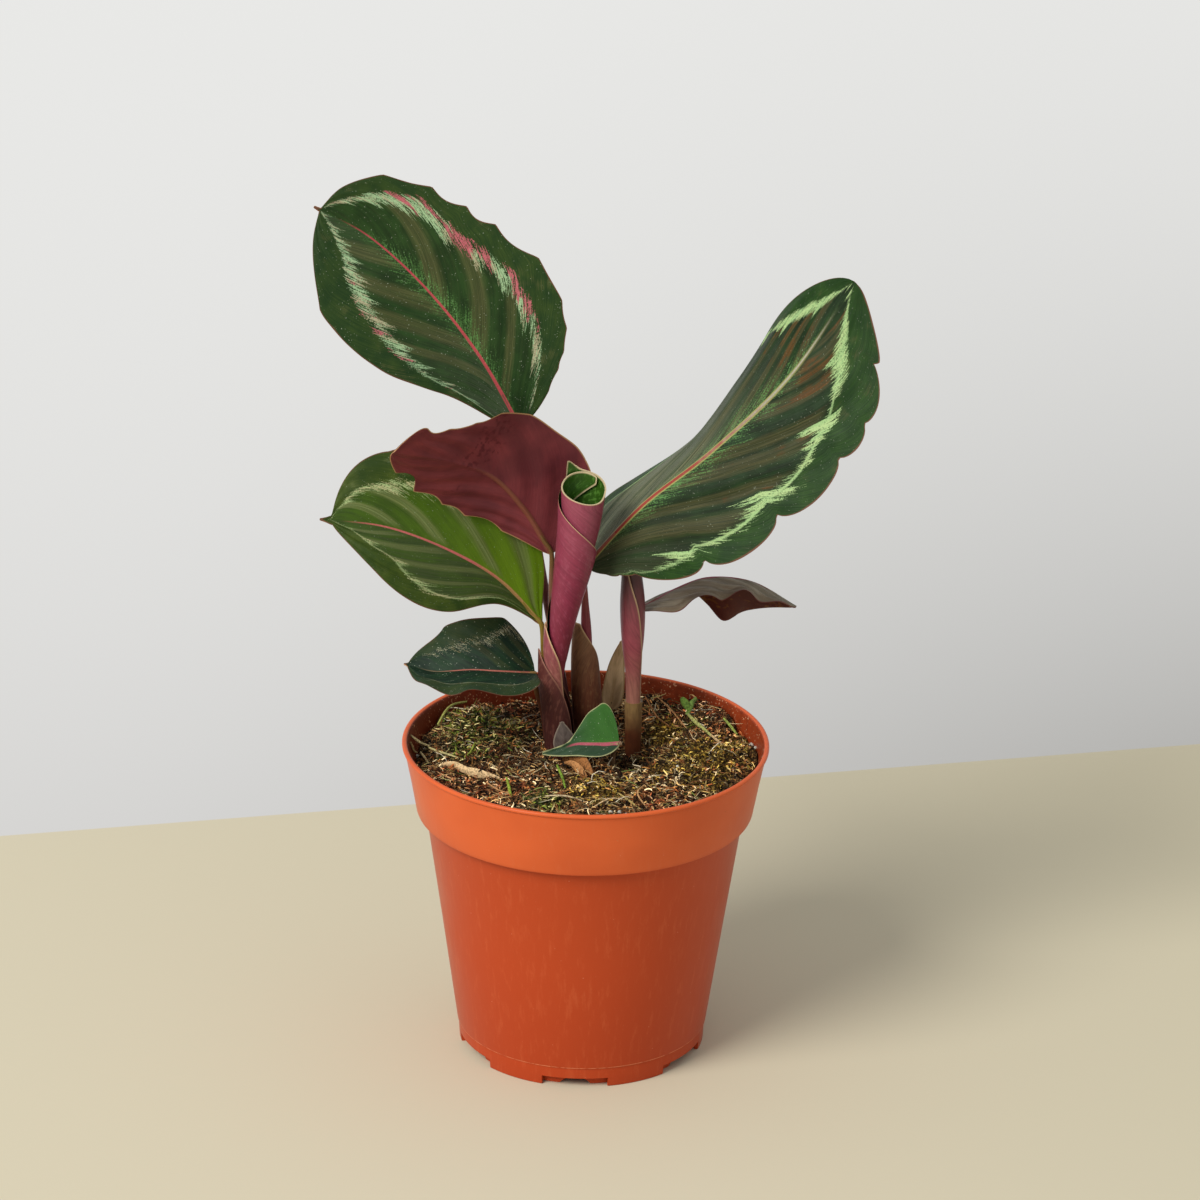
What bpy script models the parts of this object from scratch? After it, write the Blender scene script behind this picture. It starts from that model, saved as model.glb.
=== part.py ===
"""A potted calathea: nine leaves and shoots with their stems and sheaths, standing in soil in a nursery pot.

The origin is the middle of the pot's base, where it stands. +Z is up, the view in which the tall leaf
leans left and the large leaf leans right looks along +Y. All sizes below are in millimetres, and
solid_from() turns them into metres.
"""
import math

import bmesh
import bpy
import numpy as np

MM = 0.001
GAP = 0.35

# Pot
RIM_RADIUS = 60.0
POT_HEIGHT = 106.0
COLLAR_TOP_RADIUS = 59.2
COLLAR_FOOT_RADIUS = 55.3
COLLAR_FOOT_HEIGHT = 82.8
BODY_TOP_RADIUS = 52.1
BODY_FOOT_RADIUS = 41.4
PARTING_HEIGHT = 7.1
BASE_RADIUS = 40.6
POT_WALL = 1.1
FLOOR_UNDERSIDE = 3.0
FLOOR_TOP = 4.4
FOOT_RING_WIDTH = 1.3
INNER_RING_RADIUS = 38.1
LIP_BAND = 1.3
LIP_WIDTH = 1.4
LIP_ROUND = 0.6
COLLAR_STEP = 0.4
FOOT_ROUND = 0.4
INNER_RING_WIDTH = 1.1
DRAFT = 0.1
FLOOR_CORNER = 1.0
NOTCH_COUNT = 6
NOTCH_FIRST_ANGLE = -2.7
NOTCH_SPAN = 31.0
NOTCH_HEIGHT = 3.2
ARCH_WIDTH = 9.5
ARCH_HEIGHT = 2.3
ARCH_SIDES = 24
DRAIN_RADIUS = 3.0
DRAIN_CIRCLE_RADIUS = 31.0
CUTTER_REACH = 4.0
POT_SEGMENTS = 40

# Soil
SOIL_LEVEL = 97.0
SOIL_FLOOR = FLOOR_TOP + GAP
SOIL_RINGS = 6
HOLE_FLOOR = 87.6
STEM_FOOT = 88.0
# Heaps and hollows of the moss: x, y, height, spread.
SOIL_HEAPS = (
    (-38, 6, 5.0, 13),
    (32, -12, 4.5, 13),
    (44, 14, 4.0, 11),
    (12, 44, 5.5, 10),
    (-22, -30, 2.5, 16),
    (14, -6, -4.5, 8),
    (-6, -26, 1.5, 10),
    (-30, 34, 2.0, 14),
)
BROAD_RIPPLE = 0.8
FINE_RIPPLE = 0.5
BRIM_RISE = 2.0
# The hole cutters' corners stand off enough for their flats to clear the stems.
HOLE_STAND_OFF = 1.03

# Leaves
BLADE_THICKNESS = 0.8
ROLL_THICKNESS = 0.7
STALK_SIDES = 8
STALK_RINGS = 9
STEM_SIDES = 12
LEAST_HALF_WIDTH = 0.8
# Where the midrib under a blade is placed, how far below the blade's middle, and its radii.
MIDRIB_SHARES = (0.0, 0.1, 0.35, 0.7)
MIDRIB_DROPS = (0.0, 0.5, 0.3, 0.0)
MIDRIB_RADII = (0.8, 0.5, 0.3)
# A margin notch steps in less than it stands out, over a slightly shorter way, with a soft jump between.
NOTCH_IN = 0.7
NOTCH_IN_FALL = 1.2
NOTCH_JUMP = 12.0
# How far the margin's waves reach in, as a power of the share of the half width.
WAVE_POWER = 2.2
NOTCH_POWER = 3
# Spread of the raised corner at the mouth of a rolled leaf, as a share of its turn.
CORNER_SPREAD = 0.06
SHEATH_ROWS = 8
SHEATH_COLUMNS = 17

# Colours of the living plant and the plastic, as linear RGB.
GREEN = (0.018, 0.060, 0.018)
MAROON = (0.110, 0.022, 0.022)
MAGENTA = (0.270, 0.040, 0.085)
BROWN = (0.070, 0.022, 0.014)
TAN = (0.330, 0.240, 0.120)
TERRACOTTA = (0.590, 0.115, 0.040)
SOIL = (0.060, 0.030, 0.014)


def clear_scene():
    for old in list(bpy.data.objects):
        bpy.data.objects.remove(old, do_unlink=True)


def make_material(name, colour, roughness):
    material = bpy.data.materials.new(name)
    material.use_nodes = True
    shader = material.node_tree.nodes["Principled BSDF"]
    shader.inputs["Base Color"].default_value = (*colour, 1)
    shader.inputs["Roughness"].default_value = roughness
    shader.inputs["Metallic"].default_value = 0.0
    return material


def solid_from(name, points, faces, material=None):
    """A mesh object from points in millimetres, all faces split into triangles."""
    mesh = bpy.data.meshes.new(name)
    mesh.from_pydata([tuple(p * MM) for p in np.asarray(points, float)], [], faces)
    mesh.validate()
    obj = bpy.data.objects.new(name, mesh)
    bpy.context.scene.collection.objects.link(obj)
    if material:
        mesh.materials.append(material)
    build = bmesh.new()
    build.from_mesh(mesh)
    bmesh.ops.recalc_face_normals(build, faces=build.faces)
    build.to_mesh(mesh)
    build.free()
    return obj


def combine(target, tools, operation):
    """Applies one Boolean with all the tools to the target, and removes the tools."""
    group = bpy.data.collections.new(target.name + "_tools")
    bpy.context.scene.collection.children.link(group)
    for tool in tools:
        group.objects.link(tool)
        tool.hide_render = True
        tool.display_type = "WIRE"
    cut = target.modifiers.new("cut", "BOOLEAN")
    cut.operation = operation
    cut.operand_type = "COLLECTION"
    cut.collection = group
    cut.solver = "EXACT"
    view = bpy.context.evaluated_depsgraph_get()
    result = bpy.data.meshes.new_from_object(target.evaluated_get(view))
    target.modifiers.clear()
    target.data = result
    for tool in tools:
        bpy.data.objects.remove(tool, do_unlink=True)
    bpy.data.collections.remove(group)
    return target


def smooth(obj, angle=40):
    obj.data.shade_smooth()
    obj.data.set_sharp_from_angle(angle=math.radians(angle))


# Curves

def unit(vectors):
    return vectors / np.linalg.norm(vectors, axis=-1, keepdims=True)


def spline(values, t):
    """A smooth curve through evenly spaced values, read at shares t of its way."""
    knots = np.asarray(values, float)
    flat = knots.ndim == 1
    if flat:
        knots = knots[:, None]
    if len(knots) == 1:
        knots = np.vstack([knots, knots])
    ends = np.vstack([2 * knots[0] - knots[1], knots, 2 * knots[-1] - knots[-2]])
    place = np.clip(np.asarray(t, float), 0, 1) * (len(knots) - 1)
    first = np.minimum(place.astype(int), len(knots) - 2)
    f = (place - first)[..., None]
    a, b, c, d = (ends[first + k] for k in range(4))
    curve = 0.5 * (2 * b + (c - a) * f + (2 * a - 5 * b + 4 * c - d) * f**2 + (3 * b - a - 3 * c + d) * f**3)
    return curve[..., 0] if flat else curve


def along(points, t):
    """Point and direction at shares t of the length of the curve through the points."""
    fine = np.linspace(0, 1, 400)
    track = spline(points, fine)
    steps = np.linalg.norm(np.diff(track, axis=0), axis=1)
    travelled = np.concatenate([[0], np.cumsum(steps)])
    place = np.interp(np.clip(t, 0, 1) * travelled[-1], travelled, fine)
    step = 0.001
    ahead = spline(points, np.minimum(place + step, 1))
    behind = spline(points, np.maximum(place - step, 0))
    return spline(points, place), unit(ahead - behind)


# Leaf blades

def leaf(midrib, face, left, right, fold_left=(10,), fold_right=(10,), curl_left=(0,), curl_right=(0,),
         wave_left=(0, 4, 0), wave_right=(0, 4, 0), notches_left=(), notches_right=(),
         notch_depth=1.6, notch_reach=0.03, stalk=(), stalk_radii=(1.4,), material="green", rows=12, columns=8):
    """The measures of one leaf.

    midrib: points from base to tip. face: the way its upper side looks, from base to tip.
    left, right: fullness of each half from base to tip, which is the half width of an even oval there.
    fold, curl: degrees that each half rises at the midrib, and bends further on its way to the margin.
    wave: height, count and start of the margin's waves. notches: where the margin steps in.
    notch_depth, notch_reach: how far it steps, and over what share of the length.
    stalk: points from the foot up to just below the blade. rows, columns: faces along and across it.
    """
    return dict(locals())


def steps_at(t, notches, reach):
    """The margin stands out just beyond each notch, and in just before it."""
    total = np.zeros_like(t)
    for notch in notches:
        x = (t - notch) / reach
        step = np.where(x > 0, np.exp(-x), -NOTCH_IN * np.exp(NOTCH_IN_FALL * x))
        total += step * np.clip(np.abs(x) * NOTCH_JUMP, 0, 1)
    return total


def half_width(shape, t, side):
    fullness = spline(shape["left"] if side < 0 else shape["right"], t)
    return np.maximum(2 * np.sqrt(np.clip(t * (1 - t), 0, None)) * fullness, LEAST_HALF_WIDTH)


def blade_surface(shape, t, s):
    """Points of the blade's middle: t runs from base to tip, s from -1 at the left margin to 1."""
    t, s = np.broadcast_arrays(np.asarray(t, float), np.asarray(s, float))
    rib, ahead = along(shape["midrib"], t)
    up = spline(shape["face"], t)
    up = unit(up - (up * ahead).sum(-1, keepdims=True) * ahead)
    out = np.cross(ahead, up)
    is_right = s >= 0
    share = np.abs(s)

    def pick(name):
        return np.where(is_right, spline(shape[name + "_right"], t), spline(shape[name + "_left"], t))

    ease = np.sin(np.pi * t).clip(0, 1) ** 0.5
    width = np.where(is_right, half_width(shape, t, 1), half_width(shape, t, -1))
    notch_left, notch_right = (
        steps_at(t, shape[key], shape["notch_reach"]) for key in ("notches_left", "notches_right")
    )
    width = width + shape["notch_depth"] * np.where(is_right, notch_right, notch_left) * share**NOTCH_POWER
    fold = np.radians(pick("fold"))
    curl = np.radians(pick("curl"))
    curl = np.where(np.abs(curl) < 0.001, 0.001, curl)
    end = fold + curl * share
    across = width * (np.sin(end) - np.sin(fold)) / curl
    rise = width * (np.cos(fold) - np.cos(end)) / curl
    high, count, start = (
        np.where(is_right, right, left) for left, right in zip(shape["wave_left"], shape["wave_right"])
    )
    rise = rise + high * share**WAVE_POWER * ease * np.sin(2 * np.pi * (count * t + start))
    return rib + out * (np.where(is_right, 1, -1) * across)[..., None] + up * rise[..., None]


def sheet_solid(name, grid, thickness, material):
    """Gives a grid of points a thickness, with both faces split into triangles alike."""
    rows, columns = grid.shape[:2]
    lengthwise = np.gradient(grid, axis=0)
    crosswise = np.gradient(grid, axis=1)
    normal = unit(np.cross(lengthwise, crosswise))
    points = np.concatenate([(grid + normal * thickness / 2).reshape(-1, 3),
                             (grid - normal * thickness / 2).reshape(-1, 3)])
    under = rows * columns

    def at(i, j):
        return i * columns + j

    faces = []
    for i in range(rows - 1):
        for j in range(columns - 1):
            a, b, c, d = at(i, j), at(i, j + 1), at(i + 1, j + 1), at(i + 1, j)
            for triangle in ((a, b, c), (a, c, d)):
                faces.append(triangle)
                faces.append(tuple(under + corner for corner in reversed(triangle)))
    edge = [at(0, j) for j in range(columns)]
    edge += [at(i, columns - 1) for i in range(1, rows)]
    edge += [at(rows - 1, j) for j in range(columns - 2, -1, -1)]
    edge += [at(i, 0) for i in range(rows - 2, 0, -1)]
    for a, b in zip(edge, edge[1:] + edge[:1]):
        faces += [(a, under + a, under + b), (a, under + b, b)]
    return solid_from(name, points, faces, material)


def tube_solid(name, points, radii, rings=STALK_RINGS, sides=STALK_SIDES, material=None):
    """A round solid along the curve through the points, with flat ends."""
    t = np.linspace(0, 1, rings)
    centre, ahead = along(points, t)
    across = unit(np.cross(ahead, (0, 1, 0)))
    other = np.cross(ahead, across)
    radius = spline(radii, t)
    ring_points = []
    for k in range(sides):
        turn = 2 * math.pi * k / sides
        ring_points.append(centre + radius[:, None] * (across * math.cos(turn) + other * math.sin(turn)))
    corners = np.stack(ring_points, 1).reshape(-1, 3)
    faces = []
    for i in range(rings - 1):
        for k in range(sides):
            a, b = i * sides + k, i * sides + (k + 1) % sides
            faces += [(a, b, b + sides), (a, b + sides, a + sides)]
    faces.append(tuple(range(sides)))
    faces.append(tuple(range((rings - 1) * sides, rings * sides)))
    return solid_from(name, corners, faces, material)


def blade_rows(shape):
    """Rows closer together at the ends, and a pair at each notch."""
    even = 0.5 - 0.5 * np.cos(np.pi * np.linspace(0, 1, shape["rows"] + 1))
    near = 0.25 * shape["notch_reach"]
    steps = [n + d for n in (*shape["notches_left"], *shape["notches_right"]) for d in (-near, near)]
    return np.array(sorted([*even, *steps]))


def build_leaf(name, shape, materials):
    """A blade joined to its stalk, which goes on under it as the midrib."""
    rows = blade_rows(shape)[:, None]
    columns = np.linspace(-1, 1, shape["columns"] + 1)[None, :]
    material = materials[shape["material"]]
    blade = sheet_solid(name, blade_surface(shape, rows, columns), BLADE_THICKNESS, material)
    shares = np.array(MIDRIB_SHARES)
    rib, _ = along(shape["midrib"], shares)
    under = rib - unit(spline(shape["face"], shares)) * np.array(MIDRIB_DROPS)[:, None]
    path = [*shape["stalk"], *under]
    radii = [*shape["stalk_radii"], *MIDRIB_RADII]
    stalk = tube_solid(name + "_stalk", path, radii, rings=STALK_RINGS + len(MIDRIB_SHARES))
    combine(blade, [stalk], "UNION")
    smooth(blade)
    return blade


# Rolled leaves and sheaths

def wrap_points(axis, radius, angle, t):
    """Points round an axis curve; the angle is 0 on the -Y side and grows towards +X."""
    centre, ahead = along(axis, np.clip(t, 0, 1))
    length = np.linalg.norm(np.diff(np.asarray(axis, float), axis=0), axis=1).sum()
    centre = centre + ahead * (np.maximum(t - 1, 0) * length)[..., None]
    front = np.array([0.0, -1.0, 0.0])
    front = unit(front - (front * ahead).sum(-1, keepdims=True) * ahead)
    right = np.cross(front, ahead)
    right = np.where(right[..., :1] < 0, -right, right)
    angle = np.radians(angle)[..., None]
    return centre + radius[..., None] * (front * np.cos(angle) + right * np.sin(angle))


def rolled_sheet(axis, radii, edge, turn, growth, slant, tip, rows, columns):
    """A blade rolled round its axis. edge: angle of the outer margin, from foot to mouth.

    slant: how much lower the mouth is in front. tip: how far the outer corner stands up.
    """
    length = np.linalg.norm(np.diff(np.asarray(axis, float), axis=0), axis=1).sum()
    share = np.linspace(0, 1, columns)[None, :]
    t = np.linspace(0, 1, rows)[:, None]
    mouth_angle = np.radians(edge[-1] - turn + turn * share)
    mouth = -slant * np.cos(mouth_angle) + tip * np.exp(-(((1 - share) / CORNER_SPREAD) ** 2))
    t = t * (1 + mouth / length)
    inside = np.clip(t, 0, 1)
    angle = spline(edge, inside) - turn + turn * share
    radius = spline(radii, inside) - growth * (1 - share)
    return wrap_points(axis, radius, angle, t)


def sheath_sheet(axis, radii, first, last, rows, columns):
    """An open tube whose two free edges run at the angles first and last, from foot to top."""
    t, share = np.broadcast_arrays(np.linspace(0, 1, rows)[:, None], np.linspace(0, 1, columns)[None, :])
    start = spline(first, t)
    angle = start + (spline(last, t) - start) * share
    return wrap_points(axis, spline(radii, t), angle, t)


LEAVES = {
    "leaf_tall": leaf(
        midrib=[(-23, 27, 205), (-36, 31, 227), (-53, 35, 248), (-72, 38, 265), (-90, 38, 275)],
        face=[(0.1, -0.95, 0.3)],
        left=(12, 17, 27, 33, 36, 27), right=(26, 35, 34, 29, 25, 23),
        fold_left=(15,), fold_right=(15,),
        notches_left=(0.6, 0.8), notches_right=(0.40, 0.49, 0.62, 0.68, 0.74, 0.83, 0.92),
        stalk=[(-5.9, 19.4, STEM_FOOT), (-5.9, 19.4, 102), (-7.4, 20.3, 114), (-10.8, 22, 132),
               (-15.0, 22.5, 155), (-19.3, 25.5, 180)],
        stalk_radii=(1.6, 1.6, 1.6, 1.5, 1.4, 1.3)),
    "leaf_front": leaf(
        midrib=[(-12, 16, 165), (-21, 14, 181), (-32, 8, 195), (-46, -3, 204), (-62, -14, 211)],
        face=[(0, 1, -0.3), (0, 1, -0.2), (0, 0.9, 0.2), (0, 0.8, 0.5)],
        left=(32, 31, 25, 23, 22, 26), right=(6, 13, 20, 19, 22, 14),
        fold_left=(8,), fold_right=(8,),
        notches_left=(0.55, 0.7, 0.82), notches_right=(0.35, 0.6, 0.78), notch_depth=1.0,
        stalk=[(-9.3, 18.4, STEM_FOOT), (-9.3, 18.4, 98), (-10.2, 18.0, 114), (-11.4, 18.4, 132),
               (-12.0, 18.2, 148)],
        stalk_radii=(1.3, 1.3, 1.3, 1.25, 1.2), material="maroon"),
    "leaf_left": leaf(
        midrib=[(-15, 14, 141), (-28, 13, 156), (-44, 11, 167), (-65, 9, 176), (-87, 8, 179)],
        face=[(0.2, -0.75, 0.65)],
        left=(2, 9, 21, 24, 19, 4), right=(5, 20, 28, 30, 29, 28), fold_right=(24, 20, 18, 12, 8),
        stalk=[(-11.2, 21.6, STEM_FOOT), (-11.2, 21.6, 98), (-11.8, 21.4, 107), (-13.3, 19.3, 118),
               (-14.2, 16.2, 131)],
        stalk_radii=(1.5, 1.5, 1.4, 1.3, 1.3), columns=6),
    "leaf_low": leaf(
        midrib=[(-17, 13, 124), (-27, 9, 126), (-38, 10, 126), (-50, 13, 124), (-60, 17, 125)],
        face=[(0.0, -0.45, 0.9)],
        left=(14, 17, 18, 17, 13, 4), right=(18, 19, 18, 17, 18, 14),
        fold_left=(25,), fold_right=(25,), wave_left=(1.6, 3, 0.1),
        stalk=[(-12.9, 17.2, STEM_FOOT), (-12.9, 17.2, 98), (-14.0, 17.0, 107), (-16.6, 15.6, 118)],
        stalk_radii=(1.1, 1.1, 1.0, 0.9), rows=10, columns=6),
    "leaf_right": leaf(
        midrib=[(-1, 16, 161), (17, 14, 183), (40, 14, 203), (64, 18, 227), (84, 24, 257)],
        face=[(-0.2, -0.9, 0.4)],
        left=(24, 30, 33, 34, 31, 20), right=(21, 33, 35.5, 32, 33, 22),
        fold_left=(-48, -53, -48, -32, -18, -8), curl_left=(-10, -15, -40, -55, -50, -20),
        notches_right=(0.08, 0.15, 0.27, 0.51, 0.66, 0.75, 0.88), notch_depth=2.6, notch_reach=0.045,
        stalk=[(0.6, 23, STEM_FOOT), (0.6, 22.9, 98), (0.2, 21.6, 112), (-0.2, 19.8, 132), (-0.9, 17.5, 148)],
        stalk_radii=(2.0, 2.0, 2.0, 1.9, 1.7)),
    "leaf_back": leaf(
        midrib=[(18, 28, 142), (32, 30, 149.5), (42, 33, 151), (55, 36, 148), (69, 38, 139)],
        face=[(0, 0, 1)],
        left=(7, 8, 11, 17, 14, 8), right=(9, 12, 11, 9, 9, 7),
        fold_left=(-30, -50, -70, -80, -70, -50), fold_right=(5, 0, 0, -5, -5, -5),
        wave_right=(1.8, 3.5, 0.1),
        stalk=[(15.5, 26, STEM_FOOT), (15.5, 26, 100), (15.6, 26.8, 114), (15.8, 27, 130)],
        stalk_radii=(1.4, 1.4, 1.2, 1.1), rows=11, columns=6),
    "leaf_small": leaf(
        midrib=[(9, 0, 105), (3, -1, 105), (-3, -1, 105), (-8, 0, 103), (-14, 2, 100)],
        face=[(0, -0.5, 0.85)],
        left=(5, 6, 5.5, 4.5, 3.5, 2), right=(17, 14, 9, 3, 1.5, 1),
        fold_left=(5,), fold_right=(30,),
        stalk=[(9.0, 6.5, STEM_FOOT), (9.0, 6.5, 97), (9.8, 5.0, 101), (10.4, 2.5, 104)],
        stalk_radii=(0.9, 0.9, 0.8, 0.8), rows=9, columns=6),
    "bract_dry": leaf(
        midrib=[(8, 33, 103), (9, 32, 112), (10, 31, 121), (11.5, 30, 129)],
        face=[(0, -1, 0.1)],
        left=(6, 4, 3, 2), right=(6, 4, 3, 2), fold_left=(20,), fold_right=(20,),
        stalk=[(8, 33, STEM_FOOT), (8, 33, 100)],
        stalk_radii=(1.2, 1.2), material="tan", rows=6, columns=4),
    "bract_small": leaf(
        midrib=[(-6.6, 3.6, 99), (-7.0, 3.4, 104), (-7.9, 3.4, 111)],
        face=[(0, -1, 0.1)],
        left=(5, 3.5, 1.5), right=(5, 3.5, 1.5), fold_left=(-12,), fold_right=(-12,),
        stalk=[(-6.6, 3.6, STEM_FOOT), (-6.6, 3.6, 96)],
        stalk_radii=(0.9, 0.9), material="tan", rows=5, columns=4),
}

ROLLED = {
    "leaf_rolled": dict(
        axis=[(-9.8, 8.6, 131), (-8.0, 7.0, 148), (-5.2, 5.8, 165), (-3.0, 5.4, 180), (-2.2, 5.5, 192)],
        radii=(3.7, 5.0, 6.3, 7.1, 7.8), edge=(330, 270, 180, 30, -134), turn=450, growth=1.5,
        slant=3.3, tip=4.5, rows=11, columns=27,
        stem=[(-7.4, 9.8, STEM_FOOT), (-7.4, 9.9, 98), (-8.4, 10.2, 108), (-9.7, 10.0, 120),
              (-9.9, 9.0, 129), (-9.8, 8.6, 132)],
        stem_radii=(1.9, 1.9, 2.0, 2.2, 2.7, 4.1)),
    "shoot_rolled": dict(
        axis=[(15.5, 18.4, 112), (15.3, 18.6, 126), (15.1, 19.2, 140), (14.8, 19.8, 150), (14.4, 20.2, 158)],
        radii=(2.7, 2.9, 4.1, 4.5, 3.6), edge=(60, 60, 40, 20, -20), turn=400, growth=1.3,
        slant=0.0, tip=4.0, rows=9, columns=24,
        stem=[(15.6, 18.5, STEM_FOOT), (15.6, 18.4, 100), (15.5, 18.4, 112.6)],
        stem_radii=(2.8, 2.7, 3.05)),
}

SHEATHS = {
    "sheath_front": dict(
        axis=[(-8.2, 11, STEM_FOOT), (-8.3, 11, 98), (-9.2, 10.8, 109), (-10.7, 10.5, 122),
              (-10.9, 10.4, 134)],
        radii=(4.9,), first=(-290, -280, -255, -190, -92), last=(62, 62, 55, 20, -68)),
    "sheath_middle": dict(
        axis=[(0.6, 23, STEM_FOOT), (0.6, 22.9, 98), (0.2, 21.6, 110), (-0.6, 20, 125), (-1.2, 18.8, 141)],
        radii=(4.8, 4.8, 4.7, 4.3, 3.4), first=(-190, -190, -185, -160, -60), last=(160, 150, 130, 80, -20)),
}


# Pot

def pot_outline():
    """Radius and height round the wall's section: out and up, over the rim, and down the inside."""
    inner_collar = COLLAR_FOOT_RADIUS - POT_WALL
    inner_body = BODY_TOP_RADIUS - POT_WALL
    ring_inside = BASE_RADIUS - FOOT_RING_WIDTH
    inner_ring = INNER_RING_RADIUS - INNER_RING_WIDTH
    body_foot = BODY_FOOT_RADIUS - POT_WALL
    lip_foot = POT_HEIGHT - LIP_BAND
    return [
        (0, FLOOR_UNDERSIDE), (inner_ring - DRAFT, FLOOR_UNDERSIDE), (inner_ring, 0), (INNER_RING_RADIUS, 0),
        (INNER_RING_RADIUS + DRAFT, FLOOR_UNDERSIDE), (ring_inside - DRAFT, FLOOR_UNDERSIDE),
        (ring_inside, 0), (BASE_RADIUS - FOOT_ROUND, 0), (BASE_RADIUS, FOOT_ROUND),
        (BODY_FOOT_RADIUS - FOOT_ROUND, PARTING_HEIGHT), (BODY_FOOT_RADIUS, PARTING_HEIGHT + DRAFT),
        (BODY_TOP_RADIUS, COLLAR_FOOT_HEIGHT - COLLAR_STEP), (COLLAR_FOOT_RADIUS, COLLAR_FOOT_HEIGHT),
        (COLLAR_TOP_RADIUS, lip_foot - DRAFT), (RIM_RADIUS, lip_foot),
        (RIM_RADIUS, POT_HEIGHT - LIP_ROUND), (RIM_RADIUS - LIP_ROUND, POT_HEIGHT),
        (RIM_RADIUS - LIP_WIDTH, POT_HEIGHT), (COLLAR_TOP_RADIUS - POT_WALL, lip_foot),
        (inner_collar, COLLAR_FOOT_HEIGHT + POT_WALL),
        (inner_body, COLLAR_FOOT_HEIGHT + POT_WALL - COLLAR_STEP),
        (body_foot, PARTING_HEIGHT), (body_foot - FLOOR_CORNER, FLOOR_TOP),
        (0, FLOOR_TOP),
    ]


def turned(name, outline, segments, material):
    """Spins an outline of radius and height about Z."""
    build = bmesh.new()
    verts = [build.verts.new((r * MM, 0, z * MM)) for r, z in outline]
    edges = [build.edges.new(pair) for pair in zip(verts, verts[1:])]
    bmesh.ops.spin(build, geom=verts + edges, cent=(0, 0, 0), axis=(0, 0, 1), angle=2 * math.pi,
                   steps=segments, use_duplicate=False)
    bmesh.ops.remove_doubles(build, verts=build.verts, dist=0.00001)
    bmesh.ops.recalc_face_normals(build, faces=build.faces)
    mesh = bpy.data.meshes.new(name)
    build.to_mesh(mesh)
    build.free()
    obj = bpy.data.objects.new(name, mesh)
    bpy.context.scene.collection.objects.link(obj)
    mesh.materials.append(material)
    return obj


def direction(angle):
    """The way out from the pot's axis at an angle from -Y towards +X."""
    a = math.radians(angle)
    return np.array([math.sin(a), -math.cos(a), 0.0])


def wedge(name, angle, span, inner, outer, low, high):
    """A block between two radii and two angles."""
    points = []
    for z in (low, high):
        for side in (-0.5, 0.5):
            for radius in (inner, outer):
                points.append(direction(angle + side * span) * radius + np.array([0, 0, z]))
    faces = [(0, 1, 3, 2), (4, 6, 7, 5), (0, 4, 5, 1), (2, 3, 7, 6), (0, 2, 6, 4), (1, 5, 7, 3)]
    return solid_from(name, points, faces)


def post(name, centre, radius, low, high, sides=16):
    """An upright round cutter."""
    x, y = centre
    return tube_solid(name, [(x, y, low), (x, y, high)], (radius,), rings=2, sides=sides)


def build_pot(materials):
    pot = turned("pot", pot_outline(), POT_SEGMENTS, materials["terracotta"])
    arch_radius = (ARCH_WIDTH**2 / 4 + ARCH_HEIGHT**2) / (2 * ARCH_HEIGHT)
    arch_drop = ARCH_HEIGHT - arch_radius
    groove = (INNER_RING_RADIUS + BASE_RADIUS - FOOT_RING_WIDTH) / 2
    cutters = []
    for k in range(NOTCH_COUNT):
        angle = NOTCH_FIRST_ANGLE + 360 * k / NOTCH_COUNT
        out = direction(angle)
        lift = np.array([0, 0, arch_drop])
        cutters.append(wedge("notch", angle, NOTCH_SPAN, groove, BASE_RADIUS + CUTTER_REACH,
                             -CUTTER_REACH, NOTCH_HEIGHT))
        ring_in = INNER_RING_RADIUS - INNER_RING_WIDTH - FOOT_ROUND
        cutters.append(tube_solid("arch", [out * ring_in + lift, out * groove + lift],
                                  (arch_radius,), rings=2, sides=ARCH_SIDES))
        drain = direction(angle + 180 / NOTCH_COUNT) * DRAIN_CIRCLE_RADIUS
        cutters.append(post("drain", drain[:2], DRAIN_RADIUS, FLOOR_UNDERSIDE - 1, FLOOR_TOP + 1))
    combine(pot, cutters, "DIFFERENCE")
    smooth(pot, 30)


# Soil

def soil_height(x, y):
    height = np.full_like(x, SOIL_LEVEL)
    for heap_x, heap_y, rise, spread in SOIL_HEAPS:
        height += rise * np.exp(-((x - heap_x) ** 2 + (y - heap_y) ** 2) / (2 * spread**2))
    height += BROAD_RIPPLE * np.sin(0.31 * x + 1.0) * np.cos(0.27 * y)
    height += FINE_RIPPLE * np.sin(0.63 * y + 0.4 * x)
    return height


def soil_wall_radius(z):
    """Just inside the pot's wall."""
    shoulder = COLLAR_FOOT_HEIGHT + POT_WALL
    if z > shoulder:
        share = (z - shoulder) / (POT_HEIGHT - LIP_BAND - shoulder)
        return COLLAR_FOOT_RADIUS + share * (COLLAR_TOP_RADIUS - COLLAR_FOOT_RADIUS) - POT_WALL - GAP
    share = (z - PARTING_HEIGHT) / (COLLAR_FOOT_HEIGHT - PARTING_HEIGHT)
    return BODY_FOOT_RADIUS + share * (BODY_TOP_RADIUS - BODY_FOOT_RADIUS) - POT_WALL - GAP - DRAFT


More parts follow.
